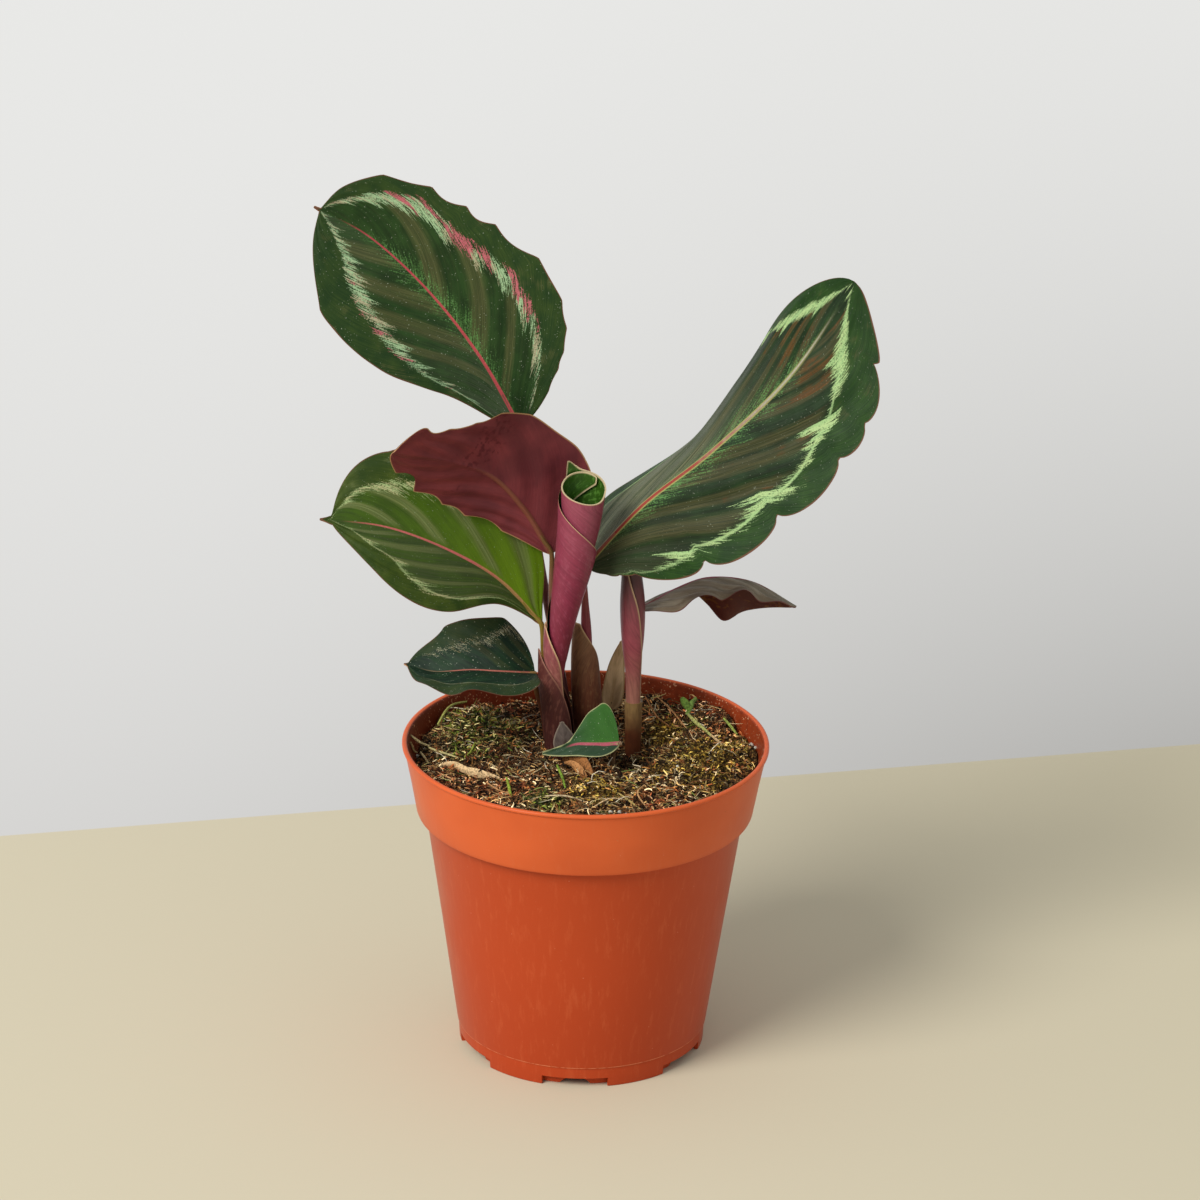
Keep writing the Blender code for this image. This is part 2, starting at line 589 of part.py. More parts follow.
def build_soil(materials):
    shoulder = COLLAR_FOOT_HEIGHT + POT_WALL
    neck = soil_wall_radius(shoulder - 1.0)
    profile = [
        (BODY_FOOT_RADIUS - POT_WALL - FLOOR_CORNER - 2 * GAP, SOIL_FLOOR),
        (soil_wall_radius(PARTING_HEIGHT + 3), PARTING_HEIGHT + 3),
        (neck, shoulder - 1.0),
        (neck, shoulder + 0.1),
        (soil_wall_radius(shoulder + 0.7), shoulder + 0.7),
    ]
    points = [(0, 0, SOIL_FLOOR)]
    angles = np.linspace(0, 2 * np.pi, POT_SEGMENTS, endpoint=False)
    for radius, z in profile:
        points += [(radius * math.cos(a), radius * math.sin(a), z) for a in angles]
    brim = soil_wall_radius(SOIL_LEVEL)
    for ring in range(SOIL_RINGS, 0, -1):
        x, y = (brim * ring / SOIL_RINGS * f(angles) for f in (np.cos, np.sin))
        height = soil_height(x, y)
        if ring == SOIL_RINGS:
            height = np.minimum(height, SOIL_LEVEL + BRIM_RISE)
            edge = np.array([soil_wall_radius(z) for z in height])
            x, y = edge * np.cos(angles), edge * np.sin(angles)
        points += list(zip(x, y, height))
    top = soil_height(np.zeros(1), np.zeros(1))[0]
    points.append((0, 0, top))
    faces = [(0, 1 + (k + 1) % POT_SEGMENTS, 1 + k) for k in range(POT_SEGMENTS)]
    ring_count = len(profile) + SOIL_RINGS
    for ring in range(ring_count - 1):
        base = 1 + ring * POT_SEGMENTS
        for k in range(POT_SEGMENTS):
            a, b = base + k, base + (k + 1) % POT_SEGMENTS
            faces += [(a, b, b + POT_SEGMENTS), (a, b + POT_SEGMENTS, a + POT_SEGMENTS)]
    last = 1 + (ring_count - 1) * POT_SEGMENTS
    centre = len(points) - 1
    faces += [(last + k, last + (k + 1) % POT_SEGMENTS, centre) for k in range(POT_SEGMENTS)]
    soil = solid_from("growing_medium", points, faces, materials["soil"])
    cutters = []
    feet = [(shape["stalk"][0], shape["stalk_radii"][0]) for shape in LEAVES.values()]
    feet += [(shape["stem"][0], shape["stem_radii"][0]) for shape in ROLLED.values()]
    feet += [(shape["axis"][0], shape["radii"][0] + ROLL_THICKNESS / 2) for shape in SHEATHS.values()]
    for foot, radius in feet:
        cutters.append(post("hole", foot[:2], (radius + GAP) * HOLE_STAND_OFF, HOLE_FLOOR, 2 * POT_HEIGHT))
    combine(soil, cutters, "DIFFERENCE")
    smooth(soil, 50)


def build_rolled(name, shape, material):
    keys = ("axis", "radii", "edge", "turn", "growth", "slant", "tip", "rows", "columns")
    grid = rolled_sheet(**{key: shape[key] for key in keys})
    sheet = sheet_solid(name, grid, ROLL_THICKNESS, material)
    stem = tube_solid(name + "_stem", shape["stem"], shape["stem_radii"], sides=STEM_SIDES)
    combine(sheet, [stem], "UNION")
    smooth(sheet)


def main():
    clear_scene()
    materials = {
        "green": make_material("leaf_green", GREEN, 0.4),
        "maroon": make_material("leaf_maroon", MAROON, 0.5),
        "magenta": make_material("shoot_magenta", MAGENTA, 0.45),
        "brown": make_material("sheath_brown", BROWN, 0.5),
        "tan": make_material("bract_tan", TAN, 0.8),
        "terracotta": make_material("pot_plastic", TERRACOTTA, 0.4),
        "soil": make_material("soil", SOIL, 0.95),
    }
    build_pot(materials)
    build_soil(materials)
    for name, shape in LEAVES.items():
        build_leaf(name, shape, materials)
    for name, shape in ROLLED.items():
        build_rolled(name, shape, materials["magenta"])
    for name, shape in SHEATHS.items():
        grid = sheath_sheet(**shape, rows=SHEATH_ROWS, columns=SHEATH_COLUMNS)
        smooth(sheet_solid(name, grid, ROLL_THICKNESS, materials["brown"]))


main()
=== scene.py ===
"""Looks of a potted calathea: leaves with feathered rings, rolled shoots, a nursery pot and mossy soil.

Every shape is worked out in millimetres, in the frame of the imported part, and turned into metres when its
mesh is made.
"""
import math
from types import SimpleNamespace

import bmesh
import bpy
import numpy as np
from mathutils import Matrix, Vector


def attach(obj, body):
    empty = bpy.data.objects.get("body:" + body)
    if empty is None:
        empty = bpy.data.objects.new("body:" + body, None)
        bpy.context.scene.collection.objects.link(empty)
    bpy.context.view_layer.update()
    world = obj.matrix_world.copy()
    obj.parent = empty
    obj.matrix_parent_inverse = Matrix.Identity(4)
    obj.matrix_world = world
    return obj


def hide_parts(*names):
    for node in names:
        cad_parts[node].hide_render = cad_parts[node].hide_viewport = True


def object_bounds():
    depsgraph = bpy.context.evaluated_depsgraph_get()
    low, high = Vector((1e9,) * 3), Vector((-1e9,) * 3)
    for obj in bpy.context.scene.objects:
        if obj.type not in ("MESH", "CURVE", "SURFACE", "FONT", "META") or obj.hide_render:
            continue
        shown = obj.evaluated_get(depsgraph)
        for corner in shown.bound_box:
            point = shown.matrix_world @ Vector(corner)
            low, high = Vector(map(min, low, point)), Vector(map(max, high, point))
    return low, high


MM = 0.001

# Camera, in millimetres, degrees and pixels of the 1200 by 1200 frame
CAMERA_BACK = 1600.0
CAMERA_HEIGHT = 802.0
CAMERA_YAW = 0.14
CAMERA_PITCH = 22.0
CAMERA_ROLL = 0.94
FOCAL_PIXELS = 5339.0
FRAME_PIXELS = 1200.0
SENSOR_WIDTH = 36.0

# Light, in metres and watts
KEY_PLACE = (-2.45, -2.35, 3.0)
KEY_AIM = (0, 0, 0.12)
KEY_SIZE = 2.3
KEY_POWER = 178
KEY_COLOUR = (1.0, 0.98, 0.95)
SKY_COLOUR = (0.94, 0.97, 1.0, 1)
SKY_STRENGTH = 0.6

# Stage. The pale ground reaches half way to its far colour at the fading distance
FLOOR_HALF_SIZE = 6000.0
TABLE_EDGE = ((-210.3, 149.3), (231.9, 249.3))
FADING_DISTANCE = 300

# Pot
RIM_RADIUS = 60.0
POT_HEIGHT = 106.0
COLLAR_TOP_RADIUS = 59.2
COLLAR_FOOT_RADIUS = 55.3
COLLAR_FOOT_HEIGHT = 82.8
COLLAR_LENGTH = 22.0
INNER_SHOULDER_TOP = 84.5
BODY_TOP_RADIUS = 52.1
BODY_FOOT_RADIUS = 41.4
PARTING_HEIGHT = 7.1
BASE_RADIUS = 40.6
POT_WALL = 1.1
BODY_MIDDLE = (46.7, 44.5)
COLLAR_MIDDLE = (57.2, 94.0)
FLOOR_UNDERSIDE = 3.0
FLOOR_TOP = 4.4
INNER_RING_RADIUS = 38.1
OUTER_RING_WIDTH = 1.3
NOTCH_COUNT = 6
NOTCH_FIRST_ANGLE = -2.7
NOTCH_SPAN = 31.0
NOTCH_HEIGHT = 3.2
ARCH_WIDTH = 10.3
ARCH_HEIGHT = 2.6
DRAIN_RADIUS = 3.0
DRAIN_CIRCLE_RADIUS = 31.0
POT_SEGMENTS = 192
# How far in from the rim's radius and down from its top the lip's section lies
LIP = (
    (0.7, 1.5), (0.25, 1.25), (0, 0.9), (0, 0.5), (0.15, 0.2), (0.5, 0), (1.1, 0), (1.5, 0.2), (1.8, 0.6),
    (1.95, 1.3),
)

# Soil. Middle, rise and spread of each heap and hollow, middle and spread of each coloured place and of each
# place painted in shade
SOIL_LEVEL = 97.0
SOIL_HEAPS = (
    (-36, 24, 5.5, 13),
    (-30, -2, 1.5, 10),
    (39, 1, 6.5, 10),
    (41, 33, 8.0, 8),
    (12, 44, 5.5, 10),
    (-22, -30, 1.5, 14),
    (15, 8, -5.5, 9),
    (-56, 4, -3.5, 6),
    (-24, -2, -2.0, 6),
)
GREEN_PLACES = ((-34, 20, 11), (-47, 33, 6), (-13, -31, 6), (36, 26, 4), (-40, 6, 6))
OCHRE_PLACES = ((40, -2, 14), (48, 11, 9), (6, -22, 7), (26, 26, 6))
RUST_PLACES = ((45, 34, 10), (-44, -18, 9), (-30, -26, 7), (-24, 40, 6), (22, -32, 6))
DARK_PLACES = ((14, 10, 9), (-24, 0, 5), (-54, 12, 5), (22, 8, 7), (48, -20, 4))
STEM_FOOT = 88.0
# Radius and height round the side of the bed, from its foot to its brim
SOIL_SIDE = ((38.0, FLOOR_TOP + 0.35), (40.2, 10.0), (50.4, 82.0), (50.4, 84.0), (53.6, 85.0))
# Height, width and seed of the lumps, crumbs and grains
CRUMBS = ((1.6, 6.0, 1), (1.1, 2.6, 2), (0.6, 1.2, 3), (0.3, 0.7, 4))
SOIL_RINGS = 92
SOIL_SEGMENTS = 260

# Moss
MOSS_PIECES = 3
MOSS_SEED = 5
STRANDS_A_PIECE = 6700
LONG_SHARE = 0.07
LONG_LENGTHS = (4.0, 8.5)
SHORT_LENGTHS = (1.2, 3.8)
LONG_RADII = (0.1, 0.17)
SHORT_RADII = (0.13, 0.32)
LIFTS = (-0.6, 0.9)
FOOT_CLEARANCE = 0.4

# Leaves
BLADE_THICKNESS = 0.45
ROLL_THICKNESS = 0.5
WAVE_POWER = 2.2
LOBE_POWER = 3
COLUMN_POWER = 1.3
RIDGE_HALF_WIDTH = 0.75
TIP_HALF_WIDTH = 0.25
MIDRIB_SHARES = (0.0, 0.05, 0.12)
MIDRIB_DROPS = (0.0, 0.4, 0.1)
MIDRIB_RADII = (1.0, 0.85, 0.5)
CORNER_SPREAD = 0.06


def linked(name, data):
    thing = bpy.data.objects.new(name, data)
    bpy.context.scene.collection.objects.link(thing)
    return thing


def place_camera():
    yaw, pitch, roll = (math.radians(a) for a in (CAMERA_YAW, CAMERA_PITCH, CAMERA_ROLL))
    ahead = Vector((math.sin(yaw) * math.cos(pitch), math.cos(yaw) * math.cos(pitch), -math.sin(pitch)))
    level = Vector((math.cos(yaw), -math.sin(yaw), 0))
    above = level.cross(ahead)
    right = level * math.cos(roll) + above * math.sin(roll)
    up = above * math.cos(roll) - level * math.sin(roll)
    matrix = Matrix((right, up, -ahead)).transposed().to_4x4()
    matrix.translation = Vector((0, -CAMERA_BACK, CAMERA_HEIGHT)) * MM
    data = bpy.data.cameras.new("camera")
    data.sensor_width = SENSOR_WIDTH
    data.lens = FOCAL_PIXELS * SENSOR_WIDTH / FRAME_PIXELS
    data.clip_start = 0.05
    data.clip_end = 50
    camera = linked("camera", data)
    camera.matrix_world = matrix
    bpy.context.scene.camera = camera


def light_stage():
    world = bpy.data.worlds.new("world")
    world.use_nodes = True
    background = world.node_tree.nodes["Background"]
    background.inputs["Color"].default_value = SKY_COLOUR
    background.inputs["Strength"].default_value = SKY_STRENGTH
    bpy.context.scene.world = world
    bpy.context.scene.view_settings.view_transform = "Standard"
    data = bpy.data.lights.new("key", "AREA")
    data.shape = "DISK"
    data.size = KEY_SIZE
    data.energy = KEY_POWER
    data.color = KEY_COLOUR
    light = linked("key", data)
    light.location = KEY_PLACE
    light.rotation_mode = "QUATERNION"
    light.rotation_quaternion = (Vector(KEY_AIM) - Vector(KEY_PLACE)).to_track_quat("-Z", "Y")


# Shader nodes

def paint(code):
    """Linear colour of a six-digit sRGB code."""
    shares = [int(code[k:k + 2], 16) / 255 for k in (0, 2, 4)]
    linear = [c / 12.92 if c <= 0.04045 else ((c + 0.055) / 1.055) ** 2.4 for c in shares]
    return (*linear, 1.0)


class Field:
    """A number that varies over a surface, worked out by shader nodes."""

    def __init__(self, looks, socket):
        self.looks = looks
        self.socket = socket

    def __add__(self, other):
        return self.looks.math("ADD", self, other)

    def __sub__(self, other):
        return self.looks.math("SUBTRACT", self, other)

    def __rsub__(self, other):
        return self.looks.math("SUBTRACT", other, self)

    def __mul__(self, other):
        return self.looks.math("MULTIPLY", self, other)

    __radd__ = __add__
    __rmul__ = __mul__


class Looks:
    """A material whose shader is fed by fields."""

    def __init__(self, name, **fixed):
        self.material = bpy.data.materials.new(name)
        self.material.use_nodes = True
        self.tree = self.material.node_tree
        self.shader = self.tree.nodes["Principled BSDF"]
        for key, value in fixed.items():
            self.shader.inputs[key.replace("_", " ")].default_value = value

    def put(self, socket, value):
        if isinstance(value, Field):
            self.tree.links.new(value.socket, socket)
        elif isinstance(value, bpy.types.NodeSocket):
            self.tree.links.new(value, socket)
        else:
            socket.default_value = value

    def node(self, kind, inputs, **settings):
        node = self.tree.nodes.new("ShaderNode" + kind)
        for key, value in settings.items():
            setattr(node, key, value)
        for key, value in inputs.items():
            self.put(node.inputs[key], value)
        return node

    def math(self, operation, *values):
        return Field(self, self.node("Math", dict(enumerate(values)), operation=operation).outputs[0])

    def step(self, value, soft=0.02):
        """0 where the value is well under zero, 1 where it is well over, and smooth between."""
        inputs = {"Value": value, "From Min": -soft, "From Max": soft}
        return Field(self, self.node("MapRange", inputs, interpolation_type="SMOOTHSTEP").outputs[0])

    def blend(self, first, second, share):
        """From the first colour to the second. A colour is a socket or a six-digit code."""
        first, second = (paint(c) if isinstance(c, str) else c for c in (first, second))
        return self.node("Mix", {0: share, 6: first, 7: second}, data_type="RGBA").outputs[2]

    def layers(self, colour, *layers):
        """Lays more colours over the first one, each with its share."""
        for layer, share in layers:
            colour = self.blend(colour, layer, share)
        return colour

    def split(self, socket):
        parts = self.node("SeparateXYZ", {0: socket})
        return [Field(self, parts.outputs[k]) for k in range(3)]

    def attribute(self, name):
        return self.split(self.node("Attribute", {}, attribute_name=name).outputs["Vector"])

    def low(self, *values):
        return self.math("MINIMUM", *values)

    def high(self, *values):
        return self.math("MAXIMUM", *values)

    def absolute(self, value):
        return self.math("ABSOLUTE", value)

    def noise(self, x, y, z, detail=2.0, roughness=0.5):
        """Three fields of noise about zero, with features about one unit wide."""
        where = self.node("CombineXYZ", {0: x, 1: y, 2: z}).outputs[0]
        inputs = {"Vector": where, "Scale": 1.0, "Detail": detail, "Roughness": roughness}
        colour = self.node("TexNoise", inputs).outputs["Color"]
        return [part - 0.5 for part in self.split(colour)]

    def cells(self, x, y, z):
        """How far a place is from the middle of its cell, and a random number for the cell."""
        where = self.node("CombineXYZ", {0: x, 1: y, 2: z}).outputs[0]
        node = self.node("TexVoronoi", {"Vector": where, "Scale": 1.0})
        return Field(self, node.outputs["Distance"]), self.split(node.outputs["Color"])[0]

    def position(self):
        """Place in millimetres."""
        where = self.node("TexCoord", {}).outputs["Object"]
        return self.split(self.node("VectorMath", {0: where, 3: 1 / MM}, operation="SCALE").outputs[0])

    def finish(self, colour, roughness=None, bump=None, depth=0.1, strength=1.0):
        """Sends the results to the shader. depth: how many millimetres one unit of bump stands for."""
        self.put(self.shader.inputs["Base Color"], colour)
        if roughness is not None:
            self.put(self.shader.inputs["Roughness"], roughness)
        if bump is not None:
            inputs = {"Height": bump, "Distance": depth * MM, "Strength": strength}
            self.put(self.shader.inputs["Normal"], self.node("Bump", inputs).outputs[0])
        return self.material


# Curves

def unit(vectors):
    return vectors / np.maximum(np.linalg.norm(vectors, axis=-1, keepdims=True), 1e-12)


def spline(values, t):
    """A smooth curve through evenly spaced values, read at shares t of its way."""
    knots = np.asarray(values, float)
    flat = knots.ndim == 1
    if flat:
        knots = knots[:, None]
    if len(knots) == 1:
        knots = np.vstack([knots, knots])
    ends = np.vstack([2 * knots[0] - knots[1], knots, 2 * knots[-1] - knots[-2]])
    place = np.clip(np.asarray(t, float), 0, 1) * (len(knots) - 1)
    first = np.minimum(place.astype(int), len(knots) - 2)
    f = (place - first)[..., None]
    a, b, c, d = (ends[first + k] for k in range(4))
    bend = (2 * a - 5 * b + 4 * c - d) * f**2 + (3 * b - a - 3 * c + d) * f**3
    curve = 0.5 * (2 * b + (c - a) * f + bend)
    return curve[..., 0] if flat else curve


def along(points, t):
    """Point and direction at shares t of the length of the curve through the points."""
    fine = np.linspace(0, 1, 400)
    track = spline(points, fine)
    steps = np.linalg.norm(np.diff(track, axis=0), axis=1)
    travelled = np.concatenate([[0], np.cumsum(steps)])
    place = np.interp(np.clip(t, 0, 1) * travelled[-1], travelled, fine)
    step = 0.001
    ahead = spline(points, np.minimum(place + step, 1))
    behind = spline(points, np.maximum(place - step, 0))
    return spline(points, place), unit(ahead - behind)


def lattice_noise(x, y, size, seed):
    """Smooth random heights from -1 to 1, with features about one size wide."""
    table = np.random.default_rng(seed).uniform(-1, 1, (128, 128))
    x, y = x / size + 64, y / size + 64
    i, j = np.floor(x).astype(int), np.floor(y).astype(int)
    u, v = x - i, y - j
    u, v = u * u * (3 - 2 * u), v * v * (3 - 2 * v)
    i, j = i % 127, j % 127
    low = table[i, j] * (1 - u) + table[i + 1, j] * u
    high = table[i, j + 1] * (1 - u) + table[i + 1, j + 1] * u
    return low * (1 - v) + high * v


# Meshes. The areas are the parts of the bake map, from 0 to 1, that a sheet and a stalk take up

SHEET_AREA = (0.01, 0.1, 0.99, 0.99)
STALK_AREA = (0.01, 0.01, 0.99, 0.09)


class Surface:
    """Gathers grids of points, with their values and materials, into one mesh."""

    def __init__(self, name, materials):
        self.name = name
        self.materials = materials
        self.points = []
        self.count = 0
        self.quads = []
        self.slots = []
        self.maps = []
        self.caps = []
        self.cap_slots = []
        self.values = {}

    def add(self, points, quads, slots, maps, values, caps=(), cap_slot=0):
        points = points.reshape(-1, 3)
        self.quads.append(quads + self.count)
        self.caps += [np.asarray(cap) + self.count for cap in caps]
        self.cap_slots += [cap_slot] * len(caps)
        self.points.append(points)
        self.slots.append(np.broadcast_to(slots, len(quads)))
        self.maps.append(maps)
        for key, value in values.items():
            self.values.setdefault(key, []).append((self.count, np.asarray(value, float).reshape(-1, 3)))
        self.count += len(points)

    def ring_grid(self, points, slots, left, right, area, values):
        """A grid closed round its columns. left, right: bake-map places of each face's two sides."""
        rows, columns = points.shape[:2]
        i, j = np.meshgrid(np.arange(rows - 1), np.arange(columns), indexing="ij")
        following = (j + 1) % columns
        low, high = i * columns, (i + 1) * columns
        quads = np.stack([low + j, low + following, high + following, high + j], -1).reshape(-1, 4)
        u0, u1 = i / (rows - 1), (i + 1) / (rows - 1)
        x0, y0, x1, y1 = area
        left, right = (np.broadcast_to(place, i.shape) for place in (left, right))
        corners = [np.stack(pair, -1) for pair in ((u0, left), (u0, right), (u1, right), (u1, left))]
        corner = np.stack(corners, 2).reshape(-1, 4, 2)
        maps = corner * [x1 - x0, y1 - y0] + [x0, y0]
        caps = [np.arange(columns)[::-1], (rows - 1) * columns + np.arange(columns)]
        slots = np.broadcast_to(slots, (rows - 1, columns)).reshape(-1)
        self.add(points, quads, slots, maps, values, caps, int(slots[-1]))

    def sheet(self, grid, thickness, values, first=0, second=1, ridge=0.0):
        """A thin sheet that comes to an edge at its first and last columns, with a ridge below it."""
        columns = grid.shape[1]
        normal = unit(np.cross(np.gradient(grid, axis=1), np.gradient(grid, axis=0)))
        share = np.linspace(-1, 1, columns)
        half = thickness / 2 * (1 - np.abs(share) ** 16)
        order = np.concatenate([np.arange(columns), np.arange(columns - 2, 0, -1)])
        sign = np.concatenate([np.ones(columns), -np.ones(columns - 2)])
        depth = half[None, :] + np.broadcast_to(ridge, grid.shape[:2])
        depth = np.where(sign > 0, half[order], depth[:, order])
        points = grid[:, order] + normal[:, order] * (depth * sign)[..., None]
        way = np.linspace(0, 0.49, columns)
        left = np.concatenate([way[:-1], 1 - way[::-1][:-1]])
        right = np.concatenate([way[1:], 1 - way[::-1][1:]])
        slots = np.concatenate([np.full(columns - 1, first), np.full(columns - 1, second)])
        values = {key: value[:, order] for key, value in values.items()}
        self.ring_grid(points, slots, left, right, SHEET_AREA, values)

    def tube(self, points, radii, slot, rings=40, sides=16, flat=1.0, tint=None):
        """A round solid along a curve. Its values are the share of its length and the share of a turn."""
        t = np.linspace(0, 1, rings)
        centre, ahead = along(points, t)
        across = unit(np.cross(ahead, (0, 1, 0)))
        other = np.cross(ahead, across)
        radius = spline(radii, t)[:, None, None]
        turn = 2 * np.pi * np.arange(sides)[:, None] / sides
        spread = across[:, None] * np.cos(turn) + other[:, None] * np.sin(turn) * flat
        place = np.stack(np.broadcast_arrays(t[:, None], turn.T / (2 * np.pi), 0.0), -1)
        way = np.arange(sides) / sides
        values = {"place": place}
        if tint:
            values["tint"] = np.broadcast_to(tint, place.shape)
        self.ring_grid(centre[:, None] + radius * spread, slot, way, way + 1 / sides, STALK_AREA, values)

    def build(self, nodes, slot, angle=50):
        """Makes the mesh, and lets it ride on the part in place of the nodes."""
        mesh = bpy.data.meshes.new(self.name)
        quads = np.concatenate(self.quads)
        corners = np.concatenate([quads.reshape(-1), *self.caps])
        sizes = np.concatenate([np.full(len(quads), 4), [len(cap) for cap in self.caps]]).astype(np.int32)
        starts = np.concatenate([[0], np.cumsum(sizes)[:-1]]).astype(np.int32)
        mesh.vertices.add(self.count)
        mesh.vertices.foreach_set("co", (np.concatenate(self.points) * MM).astype(np.float32).ravel())
        mesh.loops.add(len(corners))
        mesh.loops.foreach_set("vertex_index", corners.astype(np.int32))
        mesh.polygons.add(len(sizes))
        mesh.polygons.foreach_set("loop_start", starts)
        slots = np.concatenate([*self.slots, self.cap_slots]).astype(np.int32)
        mesh.polygons.foreach_set("material_index", slots)
        mesh.update(calc_edges=True)
        bake = np.zeros((len(corners), 2), np.float32)
        bake[:quads.size] = np.concatenate(self.maps).reshape(-1, 2)
        mesh.uv_layers.new(name="OFBake").data.foreach_set("uv", bake.ravel())
        for key, parts in self.values.items():
            whole = np.zeros((self.count, 3), np.float32)
            for start, value in parts:
                whole[start:start + len(value)] = value
            mesh.attributes.new(key, "FLOAT_VECTOR", "POINT").data.foreach_set("vector", whole.ravel())
        mesh.shade_smooth()
        mesh.set_sharp_from_angle(angle=math.radians(angle))
        for material in self.materials:
            mesh.materials.append(material)
        piece = linked(self.name, mesh)
        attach(piece, "root")
        if nodes:
            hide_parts(*nodes)


# Leaf blades

def leaf(midrib, face, left, right, fold_left=(10,), fold_right=(10,), curl_left=(0,), curl_right=(0,),
         wave_left=(0, 4, 0), wave_right=(0, 4, 0), lobes_left=(), lobes_right=(), spike=0.0,
         spike_half=0.8, stalk=(), stalk_radii=(1.4,)):
    """The measures of one leaf.

    midrib: points from base to tip. face: the way its upper side looks, from base to tip.
    left, right: fullness of each half from base to tip, which is the half width of an even oval there.
    fold, curl: degrees that each half rises at the midrib, and bends further on its way to the margin.
    wave: height, count and start of the margin's waves. spike: share of the length that the narrow tip takes.
    lobes: start, end and height of each lobe of the margin, or of each dip where the height is negative. A
    fourth number under 1 moves the lobe's peak towards its start.
    """
    return dict(locals())


# The grey values give the share of a painted sheen, where a half of the blade catches the light.
def marks(sweep_left=(0.45,), sweep_right=(0.45,), ring_left=(0.7,), ring_right=(0.7,), width_left=(0,),
          width_right=(0,), pink_left=(0,), pink_right=(0,), stripes_left=(), stripes_right=(),
          bright_left=(0,), bright_right=(0,), rust_left=(0,), rust_right=(0,), grey_left=(0,),
          grey_right=(0,), line_left=(0,), line_right=(0,), glow_left=(0,), glow_right=(0,), ribs=5.5,
          rib_height=0.25, ridge=0.9, rows=160, columns=97):
    """Where a leaf's markings lie, each as values from base to tip on its left and right half.

    sweep: how far the side veins lean towards the tip. ring, width: middle and width of the pale ring.
    stripes: vein coordinate and half width of each olive stripe. ribs, rib_height: how many side veins a half
    has, and how high the blade swells between them. ridge: how far the midrib stands out below the blade.
    """
    return dict(locals())


def lobed(t, lobes):
    """How far the margin stands out in its lobes, or in where they are dips between corners."""
    total = np.zeros_like(t)
    for start, end, height, *lean in lobes:
        x = np.clip((t - start) / (end - start), 0, 1) ** (lean[0] if lean else 1)
        total = total + height * (4 * x * (1 - x)) ** (0.5 if height > 0 else 1.2)
    return total


def sided(table, name, t, s):
    """A value at shares t of the length, from the table's list for the half that each point lies in."""
    return np.where(s >= 0, spline(table[name + "_right"], t), spline(table[name + "_left"], t))


def half_width(shape, t, s):
    fullness = np.where(s >= 0, spline(shape["right"], t), spline(shape["left"], t))
    body = np.clip(t / (1 - shape["spike"]), 0, 1)
    oval = 2 * np.sqrt(body * (1 - body)) * fullness
    needle = shape["spike_half"] * np.clip((1 - t) / max(shape["spike"], 0.01), 0, 1)
    return np.maximum(np.maximum(oval, np.where(t > 0.5, needle, 0)), TIP_HALF_WIDTH)


def blade_surface(shape, look, t, s):
    """Points of the blade's middle, the half width there and the vein coordinate."""
    rib, ahead = along(shape["midrib"], t)
    up = spline(shape["face"], t)
    up = unit(up - (up * ahead).sum(-1, keepdims=True) * ahead)
    out = np.cross(ahead, up)
    is_right = s >= 0
    share = np.abs(s)
    ease = np.sin(np.pi * t).clip(0, 1) ** 0.5
    lobes = np.where(is_right, lobed(t, shape["lobes_right"]), lobed(t, shape["lobes_left"]))
    width = half_width(shape, t, s) + lobes * share**LOBE_POWER
    fold = np.radians(sided(shape, "fold", t, s))
    curl = np.radians(sided(shape, "curl", t, s))
    curl = np.where(np.abs(curl) < 0.001, 0.001, curl)
    end = fold + curl * share
    across = width * (np.sin(end) - np.sin(fold)) / curl
    rise = width * (np.cos(fold) - np.cos(end)) / curl
    waves = zip(shape["wave_left"], shape["wave_right"])
    high, count, start = (np.where(is_right, right, left) for left, right in waves)
    rise = rise + high * share**WAVE_POWER * ease * np.sin(2 * np.pi * (count * t + start))
    vein = t - sided(look, "sweep", t, s) * share**1.1
    swell = ease * np.sin(np.pi * np.clip(share * 1.05, 0, 1)) ** 0.7
    rise = rise + look["rib_height"] * swell * np.cos(2 * np.pi * look["ribs"] * vein)
    points = rib + out * (np.where(is_right, 1, -1) * across)[..., None] + up * rise[..., None]
    return points, width, vein


def nearest_stripe(vein, stripes):
    """Distance from the middle of the nearest stripe, in half widths of that stripe."""
    offset = np.full_like(vein, 9.0)
    for middle, half in stripes:
        offset = np.minimum(offset, np.abs(vein - middle) / half)
    return offset


def blade_values(look, t, s, width, vein):
    """What the shader has to know about each point of a blade."""
    share = np.abs(s)
    left, right = (nearest_stripe(vein, look[key]) for key in ("stripes_left", "stripes_right"))
    # The mood values carry the painted grey sheen, the pale line and the glow painted as light through the
    # blade
    names = ("ring", "width", "pink", "bright", "rust", "grey", "line", "glow")
    ring, spread, pink, bright, rust, grey, line, glow = (sided(look, name, t, s) for name in names)
    values = {
        "place": (vein, share, share * width),
        "edge": ((1 - share) * width, t, s),
        "ring": (ring, spread, pink),
        "tone": (np.where(s >= 0, right, left), bright, rust),
        "mood": (grey, line, glow),
    }
    return {key: np.stack(parts, -1) for key, parts in values.items()}


